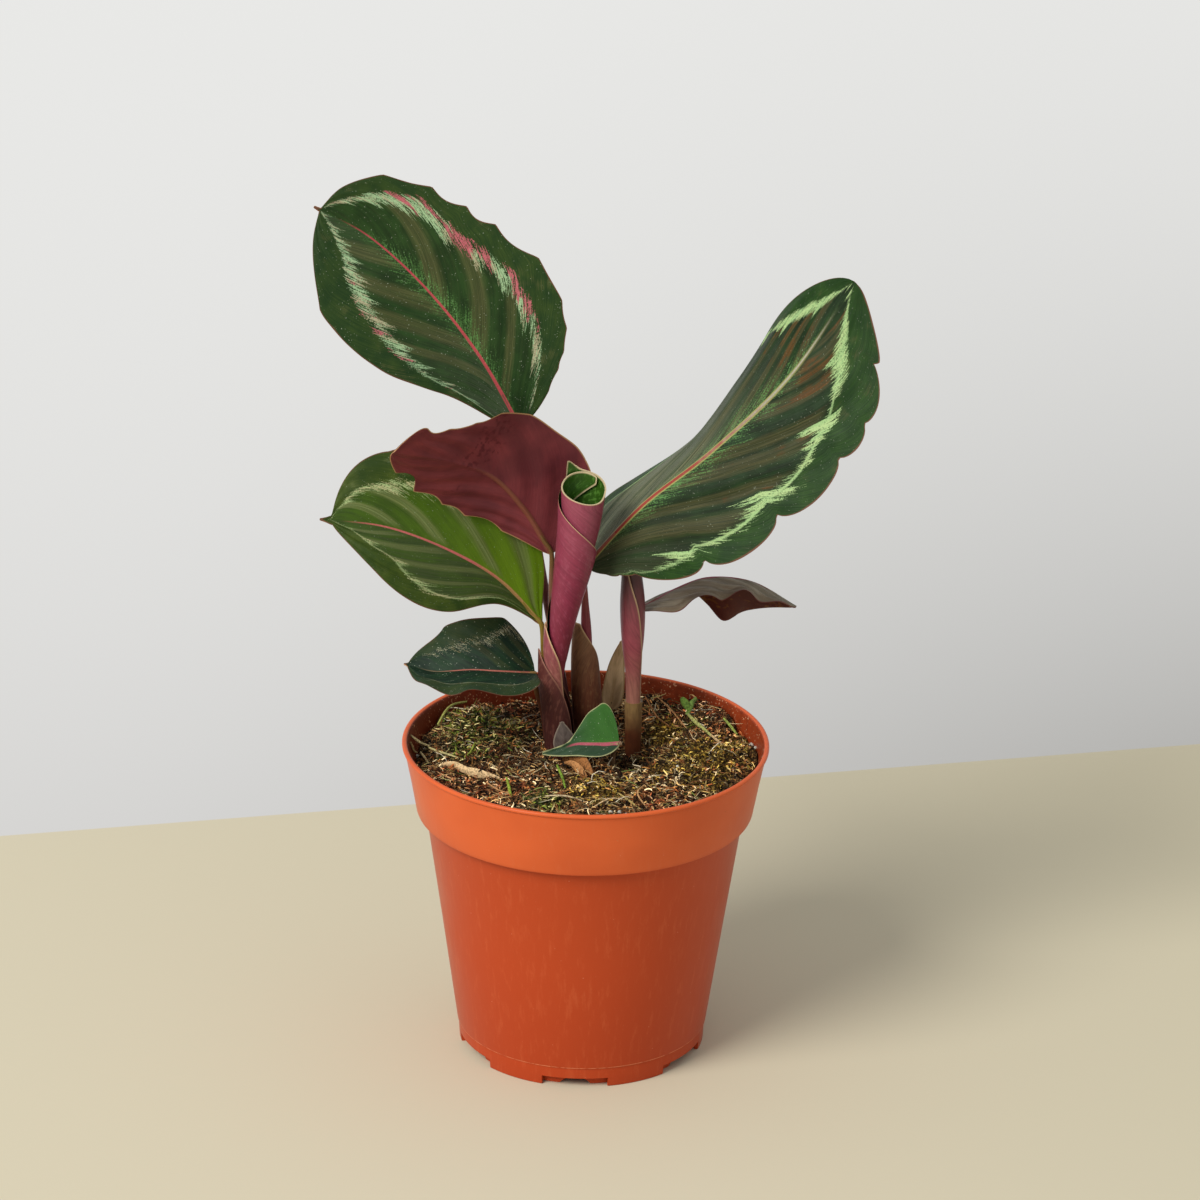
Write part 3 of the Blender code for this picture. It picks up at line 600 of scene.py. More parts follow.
def build_leaf(name, upper, under, stalk, slot):
    shape, look = LEAVES[name], MARKS[name]
    rows, columns = look["rows"], look["columns"]
    even = np.linspace(0, 1, rows)
    t = 0.6 * even + 0.4 * (0.5 - 0.5 * np.cos(np.pi * even))
    even = np.linspace(-1, 1, columns)
    s = np.sign(even) * np.abs(even) ** COLUMN_POWER
    t, s = np.broadcast_arrays(t[:, None], s[None, :])
    grid, width, vein = blade_surface(shape, look, t, s)
    reach = (np.abs(s) * width / RIDGE_HALF_WIDTH) ** 2
    ridge = look["ridge"] * np.clip(1.1 - t, 0.15, 1) * np.exp(-reach) * np.clip(t * 30, 0, 1)
    surface = Surface(name, [upper, under, stalk])
    surface.sheet(grid, BLADE_THICKNESS, blade_values(look, t, s, width, vein), ridge=ridge)
    shares = np.array(MIDRIB_SHARES)
    rib, _ = along(shape["midrib"], shares)
    below = rib - unit(spline(shape["face"], shares)) * np.array(MIDRIB_DROPS)[:, None]
    surface.tube([*shape["stalk"], *below], [*shape["stalk_radii"], *MIDRIB_RADII], 2)
    surface.build([name], slot)


# Colours and measures of a plain green blade's upper side. Its grey is a painted sheen, and its glow is
# painted light shining through the blade
BLADE = dict(
    dark="26421C", deep="172E12", olive="46482A", olive_light="66643E", pale="98B68A", pale_warm="A8A080",
    pink="B84A62", outer="22391A", outer_light="36491F", rib_low="B84C50", rib_high="B0404C", margin="6A4634",
    bright="5E8E4C", rust="6A4418", grey="8B9078", glow="6F9A12", rib_border=None, rib_change=0.6,
    rib_half=0.8, rib_end=0.85, ring_count=9.0, ring_at=0.0, wedge=0.3, whole_from=2.0, prong=0.1,
    prong_at=0.3, prong_wide=0.3, feather=0.1, feather_in=2.0, jag=0.08, gaps=0.5, pink_break=3.0,
    stripe_line=0.0, stripe_share=0.85, motes=0.3, shine=0.12)


class BladeLooks(Looks):
    """The upper side of a blade.

    ring_count, ring_at: how many patches the ring would have over the whole length, and where they start.
    wedge: how far each patch thins towards the base. whole_from: share of the length beyond which none does.
    prong, prong_at, prong_wide: how far a point of a patch reaches inwards, its place and its width.
    feather, jag: fine and broad raggedness of the ring. feather_in: how much rougher its inner edge is.
    gaps, pink_break: how far the ring breaks up, and how far the pink does.
    rib_change, rib_end: shares of the length where the midrib changes its colour, and where it ends.
    motes: how bright the pale specks are, which are painted glints of light.
    """

    def __init__(self, name, seed, **own):
        self.own = SimpleNamespace(**{**BLADE, **own})
        super().__init__(name, Specular_IOR_Level=self.own.shine)
        vein, out, self.from_rib = self.attribute("place")
        self.vein, self.out = vein, out
        self.from_margin, self.t, _ = self.attribute("edge")
        self.centre, self.width, self.pinkness = self.attribute("ring")
        self.stripe, self.light, self.russet = self.attribute("tone")
        self.sheen, self.line, self.glowing = self.attribute("mood")
        self.fine = self.noise(vein * 120, out * 9, seed, detail=3, roughness=0.65)
        self.sliver = self.noise(vein * 230, out * 15, seed + 8.5, detail=2, roughness=0.7)
        self.streak = self.noise(vein * 210, out * 4, seed + 2.5, detail=2, roughness=0.6)
        self.broad = self.noise(vein * 26, out * 3, seed + 5.5)
        x, y, z = self.position()
        self.blotch = self.noise(x * 0.16, y * 0.16, z * 0.16 + seed)
        self.grain = self.noise(x * 2.2, y * 2.2, z * 2.2 + seed, detail=1)

    def ring(self):
        """Shares of the pale ring's patches and of the rim outside them."""
        own, out = self.own, self.out
        fine, sliver, broad, grain = self.fine, self.sliver, self.broad, self.grain
        phase = self.math("FRACT", self.vein * own.ring_count + own.ring_at)
        thinning = self.step(own.whole_from - self.t, 0.04) * own.wedge
        half = self.width * 0.5 * (1.0 - (1.0 - self.step(phase - 0.6, 0.38)) * thinning)
        point = self.high(1.0 - self.absolute(phase - own.prong_at) * (1 / own.prong_wide), 0.0)
        ragged = fine[0] * (own.feather * 0.6) + sliver[0] * own.feather + broad[0] * own.jag
        outer = self.centre + half + ragged + grain[0] * 0.06
        inner = self.centre - half - point * own.prong + sliver[1] * (own.feather * own.feather_in)
        inner = inner + broad[1] * own.jag + fine[1] * own.feather + grain[1] * 0.06
        depth = self.low(outer - out, out - inner)
        solid = depth * 4.5 + sliver[2] * 3.4 + grain[1] * 1.4 + (0.26 - own.gaps * 0.4)
        ring = self.step(outer - out, 0.01) * self.step(out - inner, 0.014)
        ring = ring * self.step(self.width - 0.02, 0.015) * self.step(solid, 0.06)
        return ring, self.step(out - (self.centre + half * 0.6) - ragged, 0.03)

    def stripes(self, within):
        """Colour and share of the olive and rusty stripes, and the share of their dark lines."""
        own, fine, streak, broad = self.own, self.fine, self.streak, self.broad
        band = self.step(1.0 + fine[2] * 0.9 + broad[2] * 0.7 - self.stripe, 0.6) * within * own.stripe_share
        band = band * self.step(self.from_rib - 1.3 + self.grain[2], 1.2)
        rusty = self.step(self.russet - 0.6 + broad[0] * 2.2 + self.blotch[1] * 1.2, 0.12)
        rusty = rusty * self.step(self.russet - 0.03, 0.03)
        lines = self.step(0.15 + fine[0] * 0.4 - self.absolute(self.stripe - 0.25), 0.2)
        colour = self.layers(
            own.olive,
            (own.olive_light, self.step(streak[1] + fine[0] * 0.4, 0.22)),
            (own.rust, rusty * self.step(streak[2] + self.grain[0] * 0.5 + 0.12, 0.16)),
            (own.deep, lines * (0.35 - own.stripe_line * 0.35)),
            (own.pale, self.step(0.2 - self.stripe, 0.16) * own.stripe_line))
        return colour, band, lines * band

    def rim(self):
        own, streak, blotch = self.own, self.streak, self.blotch
        return self.layers(
            own.outer,
            (own.outer_light, self.step(blotch[1] + self.fine[1] * 0.7 - 0.05, 0.3)),
            (own.deep, self.step(streak[2] - 0.03, 0.1) * 0.35),
            (own.olive_light, self.step(blotch[2] + streak[1] * 0.6 - 0.2, 0.1) * 0.4))

    def patch(self, below):
        """Colour of the ring's patches, some of them pink, where some of the colour below shows through."""
        own, grain, broad, pinkness = self.own, self.grain, self.broad, self.pinkness
        blush = (self.out - self.centre) * 4.0 + broad[2] * own.pink_break + grain[1] * 0.6 + pinkness - 0.84
        return self.layers(
            own.pale,
            (own.pale_warm, self.step(grain[0] * 0.6 + self.fine[2] + broad[0] - 0.06, 0.1)),
            (own.pink, self.step(blush, 0.1) * self.step(pinkness - 0.04, 0.04) * 0.85),
            (below, self.step(-0.12 - grain[2] + self.streak[0] * 0.5, 0.06) * 0.45))

    def with_rib(self, colour):
        """The colour with the midrib over it, and the midrib's share."""
        own, t, grain = self.own, self.t, self.grain
        rib_edge = own.rib_half * (1.05 - t * 0.72) + self.fine[0] * 0.12
        if own.rib_border:
            border = self.step(rib_edge + 0.4 - self.from_rib, 0.22) * self.step(0.75 - t, 0.2)
            colour = self.blend(colour, own.rib_border, border * 0.8)
        rib = self.layers(
            own.rib_low,
            (own.rib_high, self.step(t - own.rib_change + self.broad[0] * 0.4, 0.16)),
            (own.deep, self.step(grain[0], 0.3) * 0.25))
        share = self.step(rib_edge - self.from_rib, 0.16) * self.step(own.rib_end - t, 0.08)
        return self.blend(colour, rib, share), share

    def upper(self):
        own, out, light = self.own, self.out, self.light
        fine, streak, broad, blotch, grain = self.fine, self.streak, self.broad, self.blotch, self.grain
        within = self.step(self.centre - self.width * 0.4 - out + broad[1] * 0.05, 0.06)
        ring, on_rim = self.ring()
        stripe, band, lines = self.stripes(within)
        near = self.step(light * 0.2 - out + fine[1] * 0.5 + grain[2] * 0.3, 0.1)
        near = near * self.step(light - 0.05, 0.05) * self.step(fine[0] + streak[0] * 1.5 + grain[1], 0.1)
        pallor = self.step(fine[2] + streak[1] * 2.0 + broad[1] + 0.15, 0.35)
        colour = self.layers(
            own.dark,
            (own.deep, self.step(broad[1] + blotch[0] * 0.8, 0.25)),
            (own.olive, self.step(streak[0], 0.3) * 0.16),
            (stripe, band),
            (own.olive_light, self.step(streak[0] - 0.2, 0.04) * within * 0.14),
            (own.deep, self.step(streak[2] - 0.1, 0.08) * 0.3),
            (own.bright, near * 0.8),
            # Painted sheen: grey streaks where the blade catches the light
            (own.grey, self.sheen * pallor),
            # Painted light: a yellow-green glow where light shines through the blade
            (own.glow, self.glowing * self.step(fine[0] + 0.3, 0.5) * (1.0 - band)),
            (self.rim(), on_rim))
        thread = self.step(0.011 + streak[2] * 0.02 - self.absolute(out - self.centre), 0.007) * self.line
        colour = self.blend(colour, self.patch(colour), self.high(ring, thread))
        colour, on_rib = self.with_rib(colour)
        colour = self.layers(
            colour,
            # Pale specks painted as glints of light
            ("B8BFA8", self.step(grain[2] + grain[0] * 0.6 - 0.29, 0.03) * own.motes),
            (own.margin, self.step(0.3 + blotch[2] * 0.5 - self.from_margin, 0.2)))
        height = fine[0] * 0.35 + streak[0] * 0.5 + on_rib * 0.5 + ring * 0.1 - lines * 0.4
        return self.finish(colour, 0.45 + ring * 0.06 + blotch[0] * 0.16, height, depth=0.25, strength=0.6)


def under_look(name, seed, base, deep, blot, rib, margin, roughness=0.5):
    """The under side of a blade, or a whole bract."""
    looks = Looks(name, Specular_IOR_Level=0.2)
    vein, out, from_rib = looks.attribute("place")
    from_margin, t, _ = looks.attribute("edge")
    _, _, russet = looks.attribute("tone")
    fine = looks.noise(vein * 60, out * 4, seed, detail=3, roughness=0.6)
    broad = looks.noise(vein * 7, out * 1.6, seed + 3.5)
    x, y, z = looks.position()
    blotch = looks.noise(x * 0.11, y * 0.11, z * 0.11 + seed)
    grain = looks.noise(x * 0.55, y * 0.55, z * 0.55 + seed, detail=3)
    on_rib = looks.step(0.9 * (1.05 - t * 0.8) - from_rib, 0.3) * looks.step(0.5 - t, 0.12)
    colour = looks.layers(
        base,
        (deep, looks.step(broad[0] * 0.8 + blotch[0] + fine[0] * 0.2, 0.3)),
        (deep, looks.step(fine[1] - 0.05, 0.25) * 0.35),
        (blot, looks.step(russet - 0.62 + grain[0] * 1.6, 0.12) * 0.8),
        (rib, on_rib * 0.75),
        (margin, looks.step(0.4 - from_margin, 0.22)))
    height = fine[0] * 0.6 + broad[0] * 0.8 + on_rib * 0.6
    return looks.finish(colour, roughness + blotch[1] * 0.15, height, depth=0.25, strength=0.6)


def stalk_look(name, seed, colours, roughness=0.42):
    """colours: from the foot, over the middle, to the top."""
    looks = Looks(name, Specular_IOR_Level=0.4)
    t, turn, _ = looks.attribute("place")
    fine = looks.noise(turn * 26, t * 7, seed, detail=3)
    broad = looks.noise(turn * 3, t * 9, seed + 2.5)
    low, middle, high = colours
    colour = looks.layers(
        low,
        (middle, looks.step(t - 0.22 + broad[0] * 0.3, 0.2)),
        (high, looks.step(t - 0.68 + broad[0] * 0.3, 0.22)),
        ("2A120F", looks.step(fine[0] - 0.04, 0.2) * 0.35))
    return looks.finish(colour, roughness + broad[1] * 0.1, fine[0], depth=0.15, strength=0.6)


LEAVES = {
    "leaf_tall": leaf(
        midrib=[(-23, 27, 205), (-36, 31, 227), (-53, 35, 248), (-72, 38, 265), (-90, 38, 275)],
        face=[(0.1, -0.95, 0.3)],
        left=(12, 15, 19, 24, 28.5, 31, 33, 35, 38, 40.5, 38), right=(26, 36, 35.5, 30.5, 30.5, 31),
        fold_left=(15,), fold_right=(15,),
        lobes_right=((0.06, 0.11, -0.7), (0.11, 0.15, -0.6), (0.15, 0.205, -0.5), (0.205, 0.27, -0.8),
                     (0.27, 0.405, -0.8), (0.405, 0.55, -2.6), (0.55, 0.64, -1.8), (0.64, 0.745, -2.0),
                     (0.745, 0.86, -1.3), (0.86, 0.955, -0.8)),
        spike=0.025, spike_half=0.7,
        stalk=[(-5.9, 19.4, STEM_FOOT), (-5.9, 19.4, 102), (-7.4, 20.3, 114), (-10.8, 22, 132),
               (-15.0, 22.5, 155), (-19.3, 25.5, 180)],
        stalk_radii=(1.6, 1.6, 1.6, 1.5, 1.4, 1.3)),
    "leaf_front": leaf(
        midrib=[(-12, 16, 165), (-21, 14, 181), (-32, 8, 195), (-46, -3, 204), (-62, -14, 211)],
        face=[(0, 1, -0.3), (0, 1, -0.2), (0, 0.9, 0.2), (0, 0.8, 0.5)],
        left=(32, 32, 31, 28.5, 25.5, 24, 22.5, 19, 16.5, 19, 40), right=(6, 13, 17.5, 18.5, 21, 16),
        fold_left=(8,), fold_right=(8,),
        lobes_left=((0.3, 0.5, -0.5), (0.5, 0.62, -0.7), (0.62, 0.72, -0.9), (0.72, 0.82, -0.5),
                    (0.82, 0.93, -0.9)),
        lobes_right=((0.2, 0.38, -2.2), (0.38, 0.55, -1.4), (0.55, 0.72, -1.8), (0.72, 0.88, -5.5)),
        stalk=[(-9.3, 18.4, STEM_FOOT), (-9.3, 18.4, 98), (-10.2, 18.0, 114), (-11.4, 18.4, 132),
               (-12.0, 18.2, 148)],
        stalk_radii=(1.3, 1.3, 1.3, 1.25, 1.2)),
    "leaf_left": leaf(
        midrib=[(-15, 14, 141), (-28, 13, 156), (-44, 11, 167), (-65, 9, 176), (-87, 8, 179)],
        face=[(0.2, -0.75, 0.65)],
        left=(2, 9, 21, 24, 20, 8), right=(5, 20, 28, 30.5, 32, 37), fold_right=(24, 20, 18, 12, 8),
        lobes_right=((0.55, 0.78, 0.8), (0.78, 0.95, 0.6)), spike=0.045, spike_half=1.7,
        stalk=[(-11.2, 21.6, STEM_FOOT), (-11.2, 21.6, 98), (-11.8, 21.4, 107), (-13.3, 19.3, 118),
               (-14.2, 16.2, 131)],
        stalk_radii=(1.5, 1.5, 1.4, 1.3, 1.3)),
    "leaf_low": leaf(
        midrib=[(-17, 13, 124), (-27, 9, 126), (-38, 10, 126), (-50, 13, 124), (-60, 17, 125)],
        face=[(0.0, -0.45, 0.9)],
        left=(20, 20, 18, 17, 13, 5), right=(26, 22, 18.5, 17.5, 18, 15), spike=0.03, spike_half=0.9,
        fold_left=(25,), fold_right=(25,), wave_left=(1.6, 3, 0.1),
        stalk=[(-12.9, 17.2, STEM_FOOT), (-12.9, 17.2, 98), (-14.0, 17.0, 107), (-16.6, 15.6, 118)],
        stalk_radii=(1.1, 1.1, 1.0, 0.9)),
    "leaf_right": leaf(
        midrib=[(-1, 16, 161), (17, 14, 183), (40, 14, 203), (64, 18, 227), (84, 24, 257)],
        face=[(-0.2, -0.9, 0.4)],
        left=(60, 31, 32, 34, 32, 24), right=(21, 29.5, 29.5, 30.5, 32.5, 14),
        fold_left=(-48, -53, -48, -32, -18, -8), curl_left=(-10, -15, -40, -55, -50, -20),
        lobes_right=((0.03, 0.055, 0.8), (0.055, 0.09, 0.9), (0.09, 0.28, 5.0), (0.28, 0.475, 6.5),
                     (0.475, 0.66, 6.0), (0.66, 0.745, 3.4), (0.745, 0.865, 3.2), (0.865, 1.0, 4.2, 0.45)),
        stalk=[(0.6, 23, STEM_FOOT), (0.6, 22.9, 98), (0.2, 21.6, 112), (-0.2, 19.8, 132), (-0.9, 17.5, 148)],
        stalk_radii=(2.0, 2.0, 2.0, 1.9, 1.7)),
    "leaf_back": leaf(
        midrib=[(16.8, 27.6, 141.6), (32, 30, 149.5), (42, 33, 151), (55, 36, 148), (69, 38, 139)],
        face=[(0, 0, 1)],
        left=(13, 11, 11, 17, 14, 8), right=(16, 14, 11.5, 9.5, 9, 7),
        fold_left=(-10, -25, -55, -80, -70, -50), fold_right=(-2, -8, -12, -14, -12, -8),
        wave_right=(1.8, 3.5, 0.1),
        stalk=[(15.5, 26, STEM_FOOT), (15.5, 26, 100), (15.6, 26.8, 114), (15.8, 27, 130)],
        stalk_radii=(1.4, 1.4, 1.2, 1.1)),
    "leaf_small": leaf(
        midrib=[(11, 0, 105), (5, -1, 105), (-2, -1, 105), (-8, 0, 103), (-14, 2, 100)],
        face=[(0, -0.5, 0.85)],
        left=(5, 6, 5.5, 4.5, 3.5, 2),
        right=(27, 21.5, 17, 13.6, 10.5, 5.2, 2.1, 1.1, 1, 1, 1),
        fold_left=(5,), fold_right=(30,),
        stalk=[(9.0, 6.5, STEM_FOOT), (9.0, 6.5, 97), (9.6, 5.0, 101), (10.4, 2.8, 104)],
        stalk_radii=(0.9, 0.9, 0.8, 0.8)),
    "bract_dry": leaf(
        midrib=[(8, 33, 103), (9, 32, 112), (10, 31, 121), (11.5, 30, 129)],
        face=[(0, -1, 0.1)],
        left=(6, 4, 3, 2), right=(6, 4, 3, 2), fold_left=(20,), fold_right=(20,),
        stalk=[(8, 33, STEM_FOOT), (8, 33, 100)],
        stalk_radii=(1.2, 1.2)),
    "bract_small": leaf(
        midrib=[(-6.6, 3.6, 99), (-7.0, 3.4, 104), (-7.9, 3.4, 111)],
        face=[(0, -1, 0.1)],
        left=(5, 3.5, 1.5), right=(5, 3.5, 1.5), fold_left=(-12,), fold_right=(-12,),
        stalk=[(-6.6, 3.6, STEM_FOOT), (-6.6, 3.6, 96)],
        stalk_radii=(0.9, 0.9)),
}

MARKS = {
    "leaf_tall": marks(
        sweep_left=(0.42, 0.45, 0.5, 0.58, 0.7, 0.8), sweep_right=(0.45, 0.48, 0.48, 0.5, 0.55, 0.6),
        ring_left=(0.85, 0.83, 0.815, 0.8, 0.72, 0.69, 0.63, 0.55, 0.42, 0.24, 0.05),
        ring_right=(0.6, 0.6, 0.63, 0.645, 0.67, 0.66, 0.64, 0.69, 0.66, 0.5, 0.3),
        width_left=(0, 0.02, 0.03, 0.05, 0.12, 0.14, 0.13, 0.18, 0.18, 0.1, 0.03),
        width_right=(0, 0.05, 0.1, 0.14, 0.16, 0.17, 0.16, 0.2, 0.26, 0.16, 0.1),
        pink_left=(0, 0, 0.15, 0.2, 0.3, 0.3, 0.1, 0.1, 0, 0, 0),
        pink_right=(0, 0, 0.2, 0.85, 0.95, 0.6, 0.85, 0.35, 0.15, 0.15, 0),
        stripes_left=((0.14, 0.03), (0.3, 0.04), (0.47, 0.045), (0.68, 0.05)),
        stripes_right=((0.1, 0.025), (0.28, 0.04), (0.5, 0.045)),
        bright_left=(0, 0.05, 0.12, 0.15, 0.05, 0), bright_right=(0, 0.2, 0.4, 0.3, 0.05, 0),
        line_left=(0.3, 0.8, 0.2, 0, 0, 0), grey_left=(0.25, 0.1, 0.03, 0, 0.05, 0.1), rib_height=0.2),
    "leaf_front": marks(
        rust_left=(0, 0, 0.1, 0.5, 0.1, 0), rust_right=(0, 0, 0.1, 0.4, 0, 0), ribs=5, rib_height=0.35,
        ridge=0.5),
    "leaf_left": marks(
        sweep_left=(0.5, 0.6, 0.7, 0.8, 0.85, 0.9), sweep_right=(0.66,),
        ring_left=(0.7, 0.7, 0.7, 0.75, 0.74, 0.735, 0.68, 0.535, 0.49, 0.3, 0.1),
        ring_right=(1.4, 1.4, 1.3, 1.0, 0.75, 0.56, 0.52, 0.55, 0.53, 0.48, 0.1),
        width_left=(0, 0, 0.02, 0.025, 0.03, 0.05, 0.11, 0.03, 0.035, 0.03, 0.02),
        width_right=(0, 0, 0, 0, 0, 0, 0.07, 0.12, 0.13, 0.09, 0.04),
        stripes_left=((-0.1, 0.03), (0.1, 0.022), (0.28, 0.03), (0.48, 0.03), (0.66, 0.03)),
        stripes_right=((-0.12, 0.09), (0.25, 0.045), (0.51, 0.035), (0.7, 0.035)),
        glow_right=(1.0, 0.85, 0.5, 0.22, 0.1, 0), glow_left=(0.3, 0, 0, 0, 0, 0),
        grey_left=(0.25, 0.45, 0.5, 0.45, 0.35, 0.2), line_left=(0, 0.8, 0.8, 0.6, 0.5, 0.3),
        ribs=3.8, rib_height=0.3),
    "leaf_low": marks(
        sweep_left=(0.5,), sweep_right=(0.6,),
        ring_left=(0.6,), ring_right=(1.0, 0.85, 0.6, 0.5, 0.5, 0.5),
        width_left=(0,), width_right=(0.2, 0.24, 0.2, 0.18, 0.1, 0),
        stripes_right=((-0.25, 0.06), (0.0, 0.04), (0.2, 0.04)), line_left=(0, 0.3, 0.3, 0.3, 0.2, 0),
        ribs=4.5, rib_height=0.2, rows=110, columns=73),
    "leaf_right": marks(
        sweep_left=(0.5, 0.55, 0.65, 0.75, 0.8, 0.85), sweep_right=(0.55,),
        ring_left=(0.8, 0.78, 0.76, 0.8, 0.9, 1.1, 1.2, 1.02, 0.69, 0.43, 0.15),
        ring_right=(1.0, 0.9, 0.84, 0.8, 0.81, 0.79, 0.75, 0.63, 0.47, 0.36, 0.1),
        width_left=(0, 0, 0, 0, 0, 0, 0.1, 0.16, 0.18, 0.2, 0),
        width_right=(0, 0.03, 0.09, 0.1, 0.12, 0.13, 0.15, 0.18, 0.22, 0.15, 0),
        stripes_left=((0.3, 0.03), (0.48, 0.025), (0.6, 0.035), (0.74, 0.03)),
        stripes_right=((0.0, 0.05), (0.15, 0.032), (0.31, 0.04), (0.41, 0.032), (0.58, 0.035), (0.665, 0.02),
                       (0.73, 0.025), (0.8, 0.02)),
        bright_left=(0, 0, 0.3, 0.5, 0.1, 0), bright_right=(0.2, 0.5, 0.5, 0.2, 0, 0),
        rust_left=(0, 0, 0, 0.1, 0.5, 0.45), rust_right=(0, 0, 0.2, 0.35, 0.45, 0.2),
        grey_left=(0.7, 0.7, 0.45, 0.15, 0, 0), grey_right=(0.3, 0.08, 0, 0, 0, 0),
        line_left=(0, 0.7, 0.6, 0, 0, 0), line_right=(0.1, 0.5, 0.95, 0.95, 0.6, 0),
        ribs=4.2, rib_height=0.5, rows=190, columns=121),
    "leaf_back": marks(
        sweep_left=(0.4,), sweep_right=(0.4,),
        stripes_left=((0.1, 0.03), (0.3, 0.03), (0.5, 0.03)),
        stripes_right=((0.1, 0.04), (0.3, 0.03), (0.5, 0.03)),
        grey_left=(0.8, 0.7, 0.6, 0.6, 0.5, 0.5), grey_right=(0.8, 0.7, 0.6, 0.5, 0.5, 0.5),
        rust_left=(0, 0.2, 0.5, 0.9, 0.8, 0.5), rust_right=(0, 0, 0.2, 0.4, 0.6, 0.6),
        ribs=6, rib_height=0.4, ridge=0.5, rows=110, columns=73),
    "leaf_small": marks(
        sweep_left=(0.3,), sweep_right=(0.3,), ring_left=(1.4,), ring_right=(1.4,),
        glow_right=(0.7, 0.7, 0.5, 0.1, 0, 0), bright_right=(0.6, 0.6, 0.4, 0.1, 0, 0),
        grey_left=(0.3,), ribs=4, rib_height=0.25, ridge=0.4, rows=70, columns=49),
    "bract_dry": marks(ribs=1, rib_height=0.1, ridge=0.2, rows=50, columns=33),
    "bract_small": marks(ribs=1, rib_height=0.05, ridge=0.2, rows=40, columns=25),
}


# What each blade's upper side has in place of the plain one's colours and measures
BLADES = {
    "leaf_tall": dict(
        seed=11.0, gaps=1.0, stripe_share=0.62, wedge=0.2, rib_half=0.65, motes=0.5, pink_break=4.5),
    "leaf_front": dict(seed=17.0),
    "leaf_left": dict(
        seed=23.0, dark="36500F", deep="22380C", olive="545C30", olive_light="7C8250", pale="9CAE76",
        pale_warm="AEAA7C", outer="2A3C12", outer_light="46541C", rib_low="A8824E", rib_high="B8605C",
        grey="464E32", glow="5E7C0A", rib_change=0.3, rib_half=0.65, ring_count=5.0, feather=0.16, gaps=0.9,
        stripe_line=0.12, stripe_share=0.75),
    # The low leaf's pale ring is broken into scattered patches, painted as sparkling highlights
    "leaf_low": dict(
        seed=29.0, dark="1A3620", deep="10241A", olive="363A22", olive_light="50502E", pale="BCBA98",
        pale_warm="8A784E", outer="22381E", outer_light="34401E", rib_low="B86A5C", rib_high="7A6A50",
        rib_change=0.65, rib_half=0.5, ring_count=4.0, feather=0.3, gaps=2.0, stripe_share=0.5, motes=0.9),
    "leaf_right": dict(
        seed=31.0, dark="1B3316", deep="0F200D", olive="363820", olive_light="5A5435", pale="98B87C",
        pale_warm="A6BE82", outer="1D3714", outer_light="2C491B", rib_low="9C4238", rib_high="A8A28C",
        rust="6C431E", grey="7A7C60", rib_border="A8A060", rib_change=0.52, rib_half=0.6, ring_count=3.6,
        ring_at=0.614, wedge=0.88, whole_from=0.79, prong=0.13, prong_at=0.93, prong_wide=0.12, feather=0.17,
        feather_in=1.3, jag=0.12, stripe_share=0.75, motes=0.35, shine=0.08),
    # The back leaf's upper side is painted in grey-browns for the sheen of light on it
    "leaf_back": dict(
        seed=37.0, dark="7A705C", deep="585040", olive="93876E", olive_light="A89C82", outer="7A6C58",
        outer_light="8E8068", rib_low="A65A66", rib_high="8A5A50", margin="6E3A34", rust="8A6238",
        grey="A39A86"),
    "leaf_small": dict(
        seed=43.0, dark="27452C", deep="203A26", margin="A8A878", bright="467C2C", rib_low="B85A68",
        rib_high="A04858", grey="4C5A48", glow="407428", rib_half=0.75, rib_end=0.62, motes=0.7),
}

# Colours of each stalk from its foot to its top. The shaders' seeds follow their order
STALKS = {
    "leaf_tall": ("5A2A24", "5E2A2C", "8A4A40"),
    "leaf_front": ("6A3A3C", "8A5560", "7A5A30"),
    "leaf_left": ("7A4228", "8A5228", "8E7A30"),
    "leaf_low": ("6A3028", "7A4030", "8A6A3A"),
    "leaf_right": ("6A2A30", "8A3A48", "8A4A38"),
    "leaf_back": ("6A3A34", "7A4A44", "9A6A5A"),
    "leaf_small": ("7A5A3A", "8A6A4A", "9A7A5A"),
    "bract_dry": ("6A5030", "8A7048", "9A8458"),
    "bract_small": ("4A3A30", "5A4A40", "6A5A4C"),
}
FIRST_STALK_SEED = 61.0


def build_leaves():
    maroon = under_look("underside_maroon", 41.0, "82393D", "632A2F", "551C22", "84523A", "B58A62")
    brown = under_look("underside_back", 53.0, "7E4E22", "5C3416", "45141A", "6E3A30", "6E3A34")
    bracts = {
        # The dry bract is painted paler than its own tan, as painted light where the shoot shades it
        "bract_dry": under_look("bract_dry", 47.0, "ECD0A0", "B0926A", "45141A", "C8AA7C", "B4966C", 0.75),
        "bract_small": under_look("bract_small", 49.0, "6E625A", "453A34", "45141A", "50423A", "8A7C6C", 0.7),
    }
    for number, (name, colours) in enumerate(STALKS.items()):
        seed = FIRST_STALK_SEED + number
        if name in bracts:
            stalk = stalk_look(name + "_stalk", seed, colours, roughness=0.7)
            build_leaf(name, bracts[name], bracts[name], stalk, "bract_tan")
        else:
            stalk = stalk_look(name + "_stalk", seed, colours)
            upper = BladeLooks(name + "_upper", **BLADES[name]).upper()
            under = brown if name == "leaf_back" else maroon
            build_leaf(name, upper, under, stalk, "leaf_maroon" if name == "leaf_front" else "leaf_green")


# Rolled leaves and sheaths

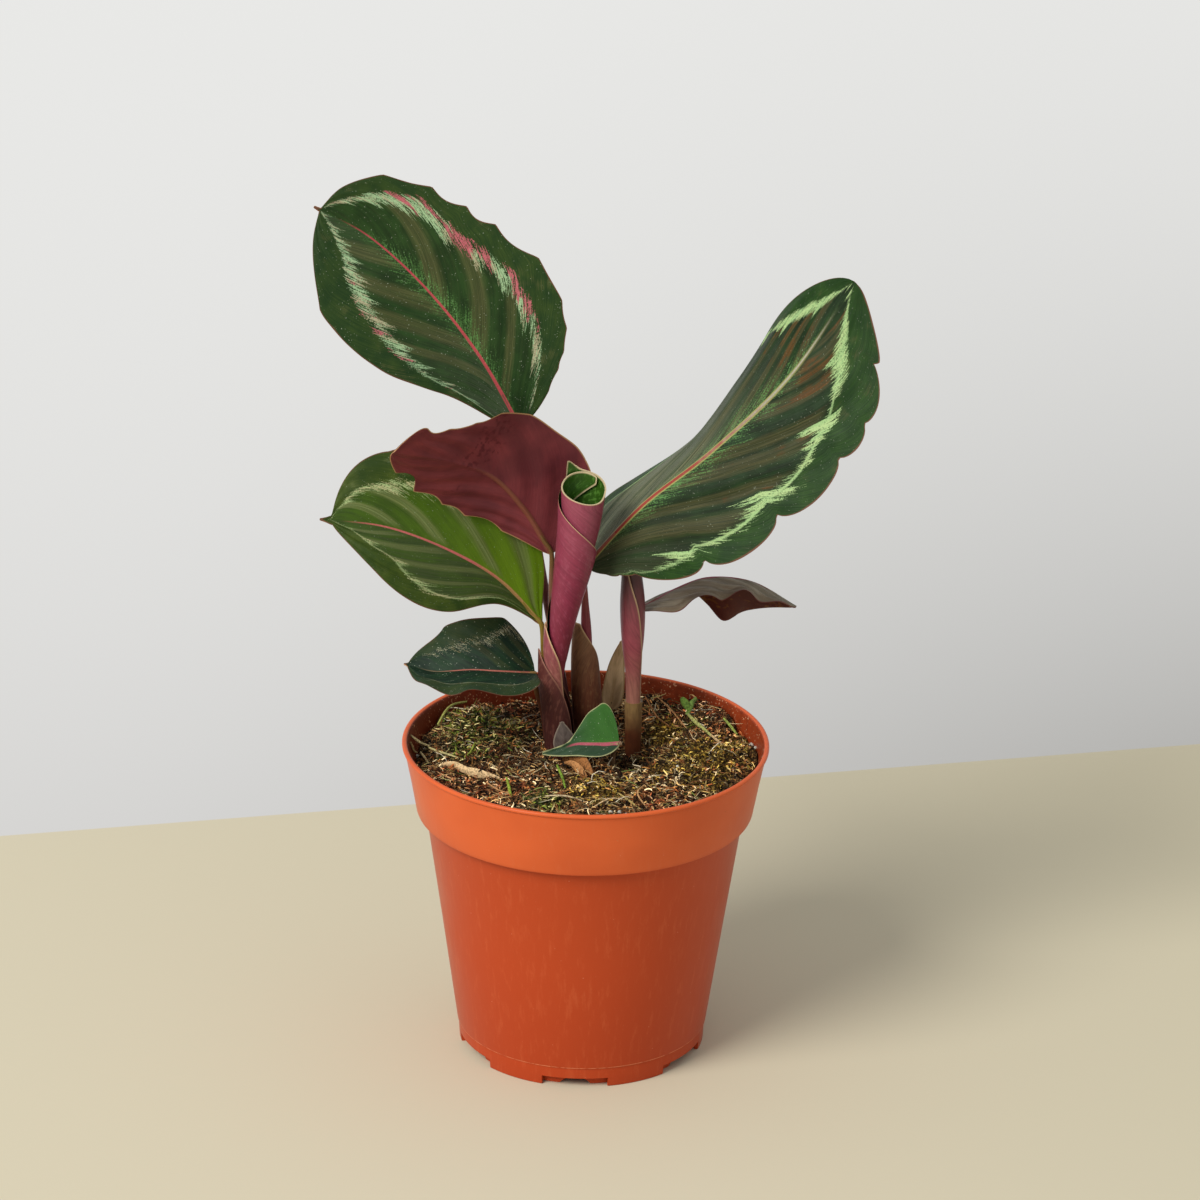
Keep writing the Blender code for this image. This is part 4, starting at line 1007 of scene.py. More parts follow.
ROLLED = {
    "leaf_rolled": dict(
        axis=[(-9.8, 8.6, 131), (-8.0, 7.0, 148), (-5.2, 5.8, 165), (-3.0, 5.4, 180), (-2.2, 5.5, 192)],
        radii=(3.7, 5.0, 6.3, 7.1, 7.8), edge=(330, 270, 180, 30, -134), turn=450, growth=1.5,
        slant=3.3, tip=4.5, rows=96, columns=120,
        stem=[(-7.4, 9.8, STEM_FOOT), (-7.4, 9.9, 98), (-8.4, 10.2, 108), (-9.7, 10.0, 120),
              (-9.9, 9.0, 129), (-9.8, 8.6, 132)],
        stem_radii=(1.9, 1.8, 1.5, 1.5, 2.2, 3.3)),
    "shoot_rolled": dict(
        axis=[(15.5, 18.4, 112), (15.3, 18.6, 126), (15.1, 19.2, 140), (14.8, 19.8, 150), (14.4, 20.2, 158)],
        radii=(2.7, 3.0, 4.2, 4.5, 3.5), edge=(60, 60, 40, 20, -20), turn=400, growth=1.3,
        slant=0.0, tip=4.0, rows=76, columns=90,
        stem=[(15.6, 18.5, STEM_FOOT), (15.6, 18.4, 100), (15.5, 18.4, 112.6)],
        stem_radii=(2.8, 2.7, 3.05)),
}

# The open groove of the rolled leaf's own stalk
GROOVE = dict(
    axis=[(-7.6, 9.9, 103), (-8.6, 10.2, 112), (-9.7, 9.8, 122), (-9.6, 8.6, 133), (-8.7, 7.6, 143)],
    radii=(1.9, 2.2, 3.0, 4.4, 5.2), first=(-170,), last=(70, 60, 40, 5, -62), rows=50, columns=40)

SHEATHS = {
    "sheath_front": dict(
        axis=[(-8.2, 11, STEM_FOOT), (-8.3, 11, 98), (-9.2, 10.8, 109), (-10.7, 10.5, 122),
              (-10.9, 10.4, 134)],
        radii=(4.9,), first=(-290, -280, -255, -190, -92), last=(62, 62, 55, 20, -68), rows=64, columns=70),
    "sheath_middle": dict(
        axis=[(0.6, 23, STEM_FOOT), (0.6, 22.9, 98), (0.2, 21.6, 110), (-0.6, 20, 125), (-1.2, 18.8, 141)],
        radii=(4.8, 4.8, 4.7, 4.3, 3.4), first=(-190, -190, -185, -160, -60), last=(160, 150, 130, 80, -20),
        rows=64, columns=70),
}


def length_of(axis):
    return np.linalg.norm(np.diff(np.asarray(axis, float), axis=0), axis=1).sum()


def wrap_points(axis, radius, angle, t):
    """Points round an axis curve; the angle is 0 on the -Y side and grows towards +X."""
    centre, ahead = along(axis, np.clip(t, 0, 1))
    centre = centre + ahead * (np.maximum(t - 1, 0) * length_of(axis))[..., None]
    front = np.array([0.0, -1.0, 0.0])
    front = unit(front - (front * ahead).sum(-1, keepdims=True) * ahead)
    right = np.cross(front, ahead)
    right = np.where(right[..., :1] < 0, -right, right)
    angle = np.radians(angle)[..., None]
    return centre + radius[..., None] * (front * np.cos(angle) + right * np.sin(angle))


def even_shares(rows, columns):
    """Shares of the height and of the turn in a grid."""
    return np.broadcast_arrays(np.linspace(0, 1, rows)[:, None], np.linspace(0, 1, columns)[None, :])


def rolled_grid(shape):
    """A blade rolled round its axis."""
    turn = shape["turn"]
    t, share = even_shares(shape["rows"], shape["columns"])
    mouth_angle = np.radians(shape["edge"][-1] - turn + turn * share)
    corner = np.exp(-(((1 - share) / CORNER_SPREAD) ** 2))
    mouth = shape["tip"] * corner - shape["slant"] * np.cos(mouth_angle)
    t = t * (1 + mouth / length_of(shape["axis"]))
    inside = np.clip(t, 0, 1)
    angle = spline(shape["edge"], inside) - turn + turn * share
    radius = spline(shape["radii"], inside) - shape["growth"] * (1 - share)
    return wrap_points(shape["axis"], radius, angle, t)


def sheath_grid(shape):
    """An open tube whose two free edges run at the angles first and last, from foot to top."""
    t, share = even_shares(shape["rows"], shape["columns"])
    start = spline(shape["first"], t)
    angle = start + (spline(shape["last"], t) - start) * share
    return wrap_points(shape["axis"], spline(shape["radii"], t), angle, t)


def add_wrapped(surface, grid, first=0, second=1):
    """Adds a wrapped sheet, whose points know the way round it and how far they are from edge and mouth."""
    t, share = even_shares(*grid.shape[:2])
    step = np.linalg.norm(np.diff(grid, axis=1), axis=-1)
    way = np.concatenate([np.zeros((len(grid), 1)), np.cumsum(step, axis=1)], 1)
    edge = np.minimum(way, way[:, -1:] - way)
    down = np.linalg.norm(grid[-1][None] - grid, axis=-1)
    values = {"place": np.stack([t, share, way], -1), "edge": np.stack([edge, down, grid[..., 2]], -1)}
    surface.sheet(grid, ROLL_THICKNESS, values, first=first, second=second)


def wrap_look(name, seed, colours, margin, vein_scale=1.4, mottle=None, mottle_share=0.55, roughness=0.4,
              streak="3A1018"):
    """A rolled leaf or sheath, in colours from its foot to its mouth, with fine veins along it."""
    looks = Looks(name, Specular_IOR_Level=0.4)
    t, _, way = looks.attribute("place")
    edge, down, _ = looks.attribute("edge")
    fine = looks.noise(way * vein_scale, t * 9, seed, detail=3, roughness=0.6)
    broad = looks.noise(way * 0.28, t * 2.2, seed + 3.5)
    x, y, z = looks.position()
    grain = looks.noise(x * 0.9, y * 0.9, z * 0.5 + seed, detail=3)
    low, middle, high = colours
    colour = looks.layers(
        low,
        (middle, looks.step(t - 0.25 + broad[0] * 0.3, 0.25)),
        (high, looks.step(t - 0.72 + broad[1] * 0.3, 0.25)),
        (streak, looks.step(fine[0] + broad[2] * 0.4 - 0.03, 0.22) * 0.4))
    if mottle:
        colour = looks.blend(colour, mottle, looks.step(grain[0] + fine[1] - 0.12, 0.1) * mottle_share)
    colour = looks.layers(
        colour, (margin, looks.step(0.45 - edge, 0.3)), (margin, looks.step(0.4 - down, 0.25)))
    return looks.finish(colour, roughness + grain[1] * 0.1, fine[0] + broad[0] * 0.6, depth=0.2, strength=0.6)


# Colours from the foot over the middle to the mouth, and of the margin, in each wrapped surface
WRAPS = {
    "roll_outside": dict(
        seed=71.0, colours=("7A2C3A", "8A3048", "944456"), margin="C09A78", streak="5A1A2C", mottle="A05064",
        mottle_share=0.35),
    "roll_inside": dict(
        seed=73.0, colours=("101E08", "1A360C", "305410"), margin="C8B48C", streak="1C380E", mottle="5C8A38",
        roughness=0.35),
    "young_outside": dict(seed=75.0, colours=("9A6656", "94464F", "4E2C2C"), margin="A88A68"),
    "groove": dict(
        seed=76.0, colours=("7A4A40", "A8685E", "9A5058"), margin="C8A27C", mottle="C08C78",
        mottle_share=0.3),
    "sheath_front": dict(
        seed=81.0, colours=("3A1A18", "4A221A", "5E2E28"), margin="8A5A48", mottle="74463A", vein_scale=1.8,
        roughness=0.5),
    "sheath_middle": dict(
        seed=83.0, colours=("4E2414", "6A3A24", "8A6444"), margin="B08E66", streak="2A120C", mottle="8E6844",
        mottle_share=0.35, vein_scale=2.4, roughness=0.55),
}


def build_wrapped():
    looks = {name: wrap_look(name, **own) for name, own in WRAPS.items()}
    stem = stalk_look("roll_stem", 77.0, ("6A3038", "7A303C", "7E2E3C"))
    young_stem = stalk_look("young_stem", 79.0, ("4A2010", "62341C", "846840"))
    rolls = {
        "leaf_rolled": (looks["roll_outside"], stem),
        "shoot_rolled": (looks["young_outside"], young_stem),
    }
    for name, (outside, foot) in rolls.items():
        shape = ROLLED[name]
        surface = Surface(name, [outside, looks["roll_inside"], foot, looks["groove"]])
        add_wrapped(surface, rolled_grid(shape))
        surface.tube(shape["stem"], shape["stem_radii"], 2, sides=28)
        if name == "leaf_rolled":
            add_wrapped(surface, sheath_grid(GROOVE), first=3, second=3)
        surface.build([name], "shoot_magenta")
    for name, shape in SHEATHS.items():
        surface = Surface(name, [looks[name]])
        add_wrapped(surface, sheath_grid(shape), second=0)
        surface.build([name], "sheath_brown")


# Pot

def pot_outline():
    """Radius and height round the wall's section: out and up, over the rim, and down the inside."""
    inner_ring = [
        (-1.2, FLOOR_UNDERSIDE), (-1.1, 0.2), (-0.9, 0), (-0.2, 0), (0, 0.2), (0.1, FLOOR_UNDERSIDE),
    ]
    outer_ring = [
        (-OUTER_RING_WIDTH - 0.1, FLOOR_UNDERSIDE), (-OUTER_RING_WIDTH, 0), (-0.4, 0), (-0.1, 0.12), (0, 0.4),
    ]
    seam = [(-0.4, -0.15), (-0.08, 0), (0, 0.25)]
    step_inside = [(0, -1.4), (0.3, -0.6), (0.9, -0.25)]
    step_outside = [(-0.8, -0.1), (-0.2, 0.1), (0, 0.6)]
    body_foot = BODY_FOOT_RADIUS - POT_WALL
    return [
        (0, FLOOR_UNDERSIDE),
        *((INNER_RING_RADIUS + r, z) for r, z in inner_ring),
        *((BASE_RADIUS + r, z) for r, z in outer_ring),
        *((BODY_FOOT_RADIUS + r, PARTING_HEIGHT + z) for r, z in seam),
        BODY_MIDDLE,
        *((BODY_TOP_RADIUS + r, COLLAR_FOOT_HEIGHT + z) for r, z in step_inside),
        *((COLLAR_FOOT_RADIUS + r, COLLAR_FOOT_HEIGHT + z) for r, z in step_outside),
        COLLAR_MIDDLE,
        *((RIM_RADIUS - r, POT_HEIGHT - z) for r, z in LIP),
        (COLLAR_FOOT_RADIUS - POT_WALL, COLLAR_FOOT_HEIGHT + POT_WALL),
        (BODY_TOP_RADIUS - POT_WALL, COLLAR_FOOT_HEIGHT + POT_WALL - 0.4),
        (body_foot, PARTING_HEIGHT),
        (body_foot - 1.0, FLOOR_TOP),
        (0, FLOOR_TOP),
    ]


def turned(name, outline, segments):
    """Spins an outline of radius and height about Z."""
    build = bmesh.new()
    verts = [build.verts.new((r * MM, 0, z * MM)) for r, z in outline]
    edges = [build.edges.new(pair) for pair in zip(verts, verts[1:])]
    bmesh.ops.spin(build, geom=verts + edges, cent=(0, 0, 0), axis=(0, 0, 1), angle=2 * math.pi,
                   steps=segments, use_duplicate=False)
    bmesh.ops.remove_doubles(build, verts=build.verts, dist=0.00001)
    bmesh.ops.recalc_face_normals(build, faces=build.faces)
    mesh = bpy.data.meshes.new(name)
    build.to_mesh(mesh)
    build.free()
    return linked(name, mesh)


def direction(angle):
    """The way out from the pot's axis at an angle from -Y towards +X."""
    a = math.radians(angle)
    return np.array([math.sin(a), -math.cos(a), 0.0])


def cutter(points, faces):
    mesh = bpy.data.meshes.new("cutter")
    mesh.from_pydata([tuple(p * MM) for p in points], [], faces)
    build = bmesh.new()
    build.from_mesh(mesh)
    bmesh.ops.recalc_face_normals(build, faces=build.faces)
    build.to_mesh(mesh)
    build.free()
    return linked("cutter", mesh)


def wedge(angle, span, inner, outer, low, high, steps=12):
    """A block between two radii and two angles, with curved walls."""
    points = []
    for k in range(steps + 1):
        way = direction(angle + (k / steps - 0.5) * span)
        for radius, z in ((inner, low), (outer, low), (outer, high), (inner, high)):
            points.append(way * radius + np.array([0, 0, z]))
    faces = [(0, 1, 2, 3), tuple(4 * steps + k for k in (3, 2, 1, 0))]
    for k in range(steps):
        for c in range(4):
            d = (c + 1) % 4
            faces.append((4 * k + c, 4 * k + 4 + c, 4 * k + 4 + d, 4 * k + d))
    return cutter(points, faces)


def rod(start, end, radius, sides=32):
    """A straight round cutter."""
    start, end = np.array(start, float), np.array(end, float)
    ahead = unit(end - start)
    across = unit(np.cross(ahead, (0.3, 0.2, 1.0) if abs(ahead[2]) < 0.9 else (1.0, 0, 0)))
    other = np.cross(ahead, across)
    points = []
    for centre in (start, end):
        for k in range(sides):
            turn = 2 * math.pi * k / sides
            points.append(centre + radius * (across * math.cos(turn) + other * math.sin(turn)))
    faces = [(k, (k + 1) % sides, sides + (k + 1) % sides, sides + k) for k in range(sides)]
    faces += [tuple(range(sides)), tuple(range(sides, 2 * sides))]
    return cutter(points, faces)


def pot_look():
    looks = Looks("pot_plastic", Specular_IOR_Level=0.17)
    x, y, z = looks.position()
    radius = looks.math("SQRT", x * x + y * y)
    speck = looks.noise(x * 1.3, y * 1.3, z * 1.3, detail=1)
    cloud = looks.noise(x * 0.035, y * 0.035, z * 0.05)
    scuff = looks.noise(x * 0.5, y * 0.5, z * 0.08, detail=4, roughness=0.7)
    dust = looks.noise(x * 0.32, y * 0.32, z * 0.32, detail=5, roughness=0.7)
    body = looks.blend("B2421E", "B64620", looks.step(z - 42.0 + cloud[0] * 12.0, 40.0))
    collar = looks.blend("D66232", "CA592D", looks.step(cloud[0], 0.3))
    seam = looks.step(0.2 - looks.absolute(z - PARTING_HEIGHT), 0.14) * looks.step(dust[0] + 0.06, 0.1)
    taper = (COLLAR_TOP_RADIUS - COLLAR_FOOT_RADIUS) / COLLAR_LENGTH
    middle = COLLAR_TOP_RADIUS - 0.7 - (POT_HEIGHT - z) * taper
    within = looks.step(middle - radius, 0.2) * looks.step(z - INNER_SHOULDER_TOP, 0.3)
    soiled = looks.step(speck[0] + dust[0] * 0.6 - 0.19, 0.03) * within
    rub = looks.step(speck[1] + dust[2] * 0.5 - 0.33, 0.03) * (1.0 - within)
    colour = looks.layers(
        body,
        (collar, looks.step(z - COLLAR_FOOT_HEIGHT, 1.5)),
        ("D0683E", looks.step(scuff[0] - 0.12, 0.12) * 0.25),
        ("EC9468", seam * 0.75),
        # Painted shade on the inner wall above the soil, darker still towards the left where the leaves shade
        # it
        ("7E2E12", within * 0.85),
        ("481A0C", looks.step(dust[1] + 0.05 - x * 0.003, 0.2) * within * 0.55),
        ("D8A078", soiled * 0.8),
        ("E0A080", rub * 0.4))
    roughness = 0.36 + cloud[1] * 0.12 + scuff[1] * 0.14 + within * 0.1
    bump = scuff[0] * 0.4 + speck[2] * 0.12 + soiled * 2.0
    return looks.finish(colour, roughness, bump, depth=0.12, strength=0.5)


def pot_tools():
    """Cutters of the foot's notches and arches and of the drain holes."""
    arch_radius = (ARCH_WIDTH**2 / 4 + ARCH_HEIGHT**2) / (2 * ARCH_HEIGHT)
    lift = np.array([0, 0, ARCH_HEIGHT - arch_radius])
    groove = (INNER_RING_RADIUS + BASE_RADIUS - OUTER_RING_WIDTH) / 2
    tools = []
    for k in range(NOTCH_COUNT):
        angle = NOTCH_FIRST_ANGLE + 360 * k / NOTCH_COUNT
        out = direction(angle)
        tools.append(wedge(angle, NOTCH_SPAN, groove, BASE_RADIUS + 4, -4, NOTCH_HEIGHT))
        tools.append(rod(out * (INNER_RING_RADIUS - 1.5) + lift, out * groove + lift, arch_radius, 96))
        drain = direction(angle + 180 / NOTCH_COUNT) * DRAIN_CIRCLE_RADIUS
        tools.append(rod((*drain[:2], FLOOR_UNDERSIDE - 1), (*drain[:2], FLOOR_TOP + 1), DRAIN_RADIUS))
    return tools


def cut_away(body, tools):
    """Takes the tools' shapes out of the body, and removes the tools."""
    group = bpy.data.collections.new("cutters")
    bpy.context.scene.collection.children.link(group)
    for tool in tools:
        group.objects.link(tool)
    cut = body.modifiers.new("cut", "BOOLEAN")
    cut.operation = "DIFFERENCE"
    cut.operand_type = "COLLECTION"
    cut.collection = group
    cut.solver = "EXACT"
    view = bpy.context.evaluated_depsgraph_get()
    mesh = bpy.data.meshes.new_from_object(body.evaluated_get(view))
    body.modifiers.clear()
    body.data = mesh
    for tool in tools:
        bpy.data.objects.remove(tool, do_unlink=True)
    bpy.data.collections.remove(group)


def build_pot():
    pot = turned("pot_shell", pot_outline(), POT_SEGMENTS)
    cut_away(pot, pot_tools())
    pot.data.shade_smooth()
    pot.data.set_sharp_from_angle(angle=math.radians(35))
    pot.data.materials.clear()
    pot.data.materials.append(pot_look())
    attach(pot, "root")
    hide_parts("pot")


# Soil

def soil_height(x, y):
    height = np.full_like(x, SOIL_LEVEL)
    for heap_x, heap_y, rise, spread in SOIL_HEAPS:
        height = height + rise * np.exp(-((x - heap_x) ** 2 + (y - heap_y) ** 2) / (2 * spread**2))
    return height + 0.8 * np.sin(0.31 * x + 1.0) * np.cos(0.27 * y) + 0.5 * np.sin(0.63 * y + 0.4 * x)


def rough_height(x, y):
    """The soil with its lumps, crumbs and grains."""
    height = soil_height(x, y)
    for rise, size, seed in CRUMBS:
        height = height + rise * lattice_noise(x, y, size, seed)
    return height


def nearness(x, y, places):
    """1 at the middle of any of the places, and down to 0 away from them all."""
    share = np.zeros_like(x)
    for place_x, place_y, spread in places:
        share = np.maximum(share, np.exp(-((x - place_x) ** 2 + (y - place_y) ** 2) / (2 * spread**2)))
    return share


def soil_zones(x, y):
    """How green, how yellow and how red the soil is at a place, each from 0 to 1."""
    ragged = 0.35 * lattice_noise(x, y, 5.0, 6)
    return [np.clip(nearness(x, y, places) * 1.25 - 0.2 + ragged * 1.2, 0, 1)
            for places in (GREEN_PLACES, OCHRE_PLACES, RUST_PLACES)]


def wall_radius(z):
    """Just inside the pot's wall."""
    shoulder = COLLAR_FOOT_HEIGHT + POT_WALL
    share = np.clip((z - shoulder) / (POT_HEIGHT - 1.3 - shoulder), 0, 1)
    return COLLAR_FOOT_RADIUS + share * (COLLAR_TOP_RADIUS - COLLAR_FOOT_RADIUS) - POT_WALL - 0.25


def soil_look():
    """Crumbs in random tones of the colour of their zone, with painted shade in the gaps between them."""
    looks = Looks("soil", Specular_IOR_Level=0.15)
    x, y, z = looks.position()
    a, b, c = looks.noise(x * 0.7, y * 0.7, z * 0.7, detail=3)
    gap, tone = looks.cells(x * 1.0 + a * 2.6, y * 0.8 + b * 2.6, z * 0.8 + c * 2.6)
    fine_gap, fine_tone = looks.cells(x * 2.3 + b * 3.0, y * 2.0 + c * 3.0, z * 2.3 + a * 3.0)
    shade = tone * 0.6 + fine_tone * 0.4
    colour = looks.blend("4E3018", "B08A58", shade)
    tones = (("443E1A", "9A9248"), ("5A4018", "B8963C"), ("5E2C16", "C07844"))
    for (dark, light), share in zip(tones, looks.attribute("zone")):
        colour = looks.blend(colour, looks.blend(dark, light, shade), share)
    # Painted shade in the gaps between crumbs
    deep = looks.step(gap * 0.7 + fine_gap * 0.5 - 0.52 + c * 0.4, 0.14)
    colour = looks.blend(colour, "170D07", deep * 0.9)
    return looks.finish(colour, 0.9, (gap + fine_gap * 0.5) * -1.0, depth=0.9, strength=1.0)


def build_soil():
    turn = np.linspace(0, 2 * np.pi, SOIL_SEGMENTS, endpoint=False)
    radius = wall_radius(SOIL_LEVEL) * np.linspace(1, 0.002, SOIL_RINGS)[:, None]
    x, y = radius * np.cos(turn), radius * np.sin(turn)
    z = np.minimum(rough_height(x, y), POT_HEIGHT + 2)
    z[0] = np.minimum(z[0], SOIL_LEVEL + 5)
    side = [
        np.stack([r * np.cos(turn), r * np.sin(turn), np.full_like(turn, height)], -1)
        for r, height in SOIL_SIDE
    ]
    grid = np.concatenate([side, np.stack([x, y, z], -1)])
    surface = Surface("soil_bed", [soil_look()])
    way = np.arange(SOIL_SEGMENTS) / SOIL_SEGMENTS
    zone = np.stack(soil_zones(grid[..., 0], grid[..., 1]), -1)
    surface.ring_grid(grid, 0, way, way + 1 / SOIL_SEGMENTS, (0, 0, 1, 1), {"zone": zone})
    surface.build(["growing_medium"], "soil", angle=70)


# Shades of the strands: plain, green, yellow and red soil, and long fibres
PALETTES = (
    ("7A5230", "A0703C", "C8A066", "5A381C", "E4CC9C", "8A4E28", "2E1C10", "1C120A"),
    ("4A5A1E", "667424", "868C38", "A89C54", "34421A", "8A6434", "2E2814", "CCC080"),
    ("8C6E26", "B0903A", "CCAC50", "6E4C1C", "44300F", "94803A", "E0C47A", "2A1C0C"),
    ("9A5230", "BC7040", "7C3E1E", "CE9460", "5A2C16", "E0B080", "3A1E10", "24120A"),
    ("E0C898", "CCA870", "B88450", "D8BC88", "A06840", "F4E8C8", "8E9A4C", "C8B870"),
)


def strand_look(name):
    looks = Looks(name, Specular_IOR_Level=0.2)
    colour = looks.node("Attribute", {}, attribute_name="tint").outputs["Vector"]
    x, y, z = looks.position()
    speckle = looks.noise(x * 1.5, y * 1.5, z * 1.5, detail=2)
    shade = looks.blend(colour, "140C06", looks.step(speckle[0] - 0.03, 0.12) * 0.5)
    return looks.finish(shade, 0.8, speckle[1], depth=0.3, strength=0.8)


def strands(surface, start, heading, climb, length, radius, bend, tint, rings=4):
    """Adds three-sided fibres. Each argument has one value a fibre; bend turns the fibre as it goes."""
    count = len(start)
    centres = [start]
    for k in range(rings - 1):
        angle = heading + bend * k
        lift = climb - 0.45 * k * np.sign(climb) * np.minimum(np.abs(climb), 1)
        step = np.stack([np.cos(angle) * np.cos(lift), np.sin(angle) * np.cos(lift), np.sin(lift)], -1)
        centres.append(centres[-1] + step * (length / (rings - 1))[:, None])
    centres = np.stack(centres, 1)
    ahead = unit(np.gradient(centres, axis=1))
    across = unit(np.cross(ahead, (0.13, 0.09, 1.0)))
    other = np.cross(ahead, across)
    girth = radius[:, None] * np.array([0.7, 1.0, 0.85, 0.25])[None, :rings]
    corners = []
    for k in range(3):
        turn = 2 * np.pi * k / 3
        corners.append(centres + girth[..., None] * (across * np.cos(turn) + other * np.sin(turn)))
    points = np.stack(corners, 2)
    ring, side = np.meshgrid(np.arange(rings - 1), np.arange(3), indexing="ij")
    following = (side + 1) % 3
    low, high = ring * 3, ring * 3 + 3
    pattern = np.stack([low + side, low + following, high + following, high + side], -1).reshape(-1, 4)
    quads = (pattern + (np.arange(count) * rings * 3)[:, None, None]).reshape(-1, 4)
    cell = np.arange(len(quads)) // ((rings - 1) * 3)
    cells = math.ceil(math.sqrt(count))
    corner = np.array([[0, 0], [1, 0], [1, 1], [0, 1]], float)
    maps = (corner + np.stack([cell % cells, cell // cells], -1)[:, None]) / cells
    surface.add(points, quads, 0, maps, {"tint": np.repeat(tint, rings * 3, axis=0)})


def stem_feet():
    """Places and radii of everything that stands in the soil."""
    feet = [(*shape["stalk"][0][:2], shape["stalk_radii"][0]) for shape in LEAVES.values()]
    feet += [(*shape["stem"][0][:2], shape["stem_radii"][0]) for shape in ROLLED.values()]
    return feet + [(*shape["axis"][0][:2], shape["radii"][0]) for shape in SHEATHS.values()]


def moss_colours(random, x, y):
    """Tints of fibres at some places, with painted shade low down and in hollows, which are long, how high
    they lie and how short.
    """
    count = len(x)
    green, yellow, red = soil_zones(x, y)
    draw = random.uniform(0, 1, count)
    zone = np.where(draw < red, 3, np.where(draw < yellow, 2, np.where(draw < green, 1, 0)))
    palettes = np.array([[paint(code)[:3] for code in row] for row in PALETTES])
    chosen = random.integers(0, palettes.shape[1], count)
    long = random.uniform(0, 1, count) < LONG_SHARE * (1 - 0.85 * yellow)
    zone = np.where(long, 4, zone)
    lift = random.uniform(*LIFTS, count)
    # Painted shade: fibres lying lower are darker, and those in the shaded places darker still
    bright = np.exp(random.normal(0.1, 0.8, count)) * (0.45 + 0.6 * (lift - LIFTS[0]))
    bright = np.minimum(bright, np.where(long, 1.2, 2.6))
    bright = bright * (1 - 0.65 * nearness(x, y, DARK_PLACES))
    return palettes[zone, chosen] * bright[:, None], long, lift, 1 - 0.35 * np.maximum(yellow, red)


def build_moss(look):
    random = np.random.default_rng(MOSS_SEED)
    brim = wall_radius(SOIL_LEVEL)
    for number in range(1, MOSS_PIECES + 1):
        radius = brim * np.sqrt(random.uniform(0, 1, STRANDS_A_PIECE)) * 0.985
        turn = random.uniform(0, 2 * np.pi, STRANDS_A_PIECE)
        x, y = radius * np.cos(turn), radius * np.sin(turn)
        keep = np.ones(STRANDS_A_PIECE, bool)
        for foot_x, foot_y, foot_radius in stem_feet():
            keep &= np.hypot(x - foot_x, y - foot_y) > foot_radius + FOOT_CLEARANCE
        x, y = x[keep], y[keep]
        count = len(x)
        tint, long, lift, short = moss_colours(random, x, y)
        start = np.stack([x, y, rough_height(x, y) + lift], -1)
        heading = random.uniform(0, 2 * np.pi, count)
        inward = np.arctan2(-y, -x) + random.normal(0, 0.5, count)
        heading = np.where(np.hypot(x, y) > brim - 4, inward, heading)
        long_length = random.uniform(*LONG_LENGTHS, count)
        length = np.where(long, long_length, random.uniform(*SHORT_LENGTHS, count) * short)
        thick = np.where(long, random.uniform(*LONG_RADII, count), random.uniform(*SHORT_RADII, count))
        climb = random.normal(0.2, 0.55, count) * np.where(long, 0.5, 1)
        bend = random.normal(0, 0.8, count) * np.where(long, 0.55, 1)
        surface = Surface(f"moss_{number}", [look])
        strands(surface, start, heading, climb, length, thick, bend, tint)
        surface.build([], "soil")


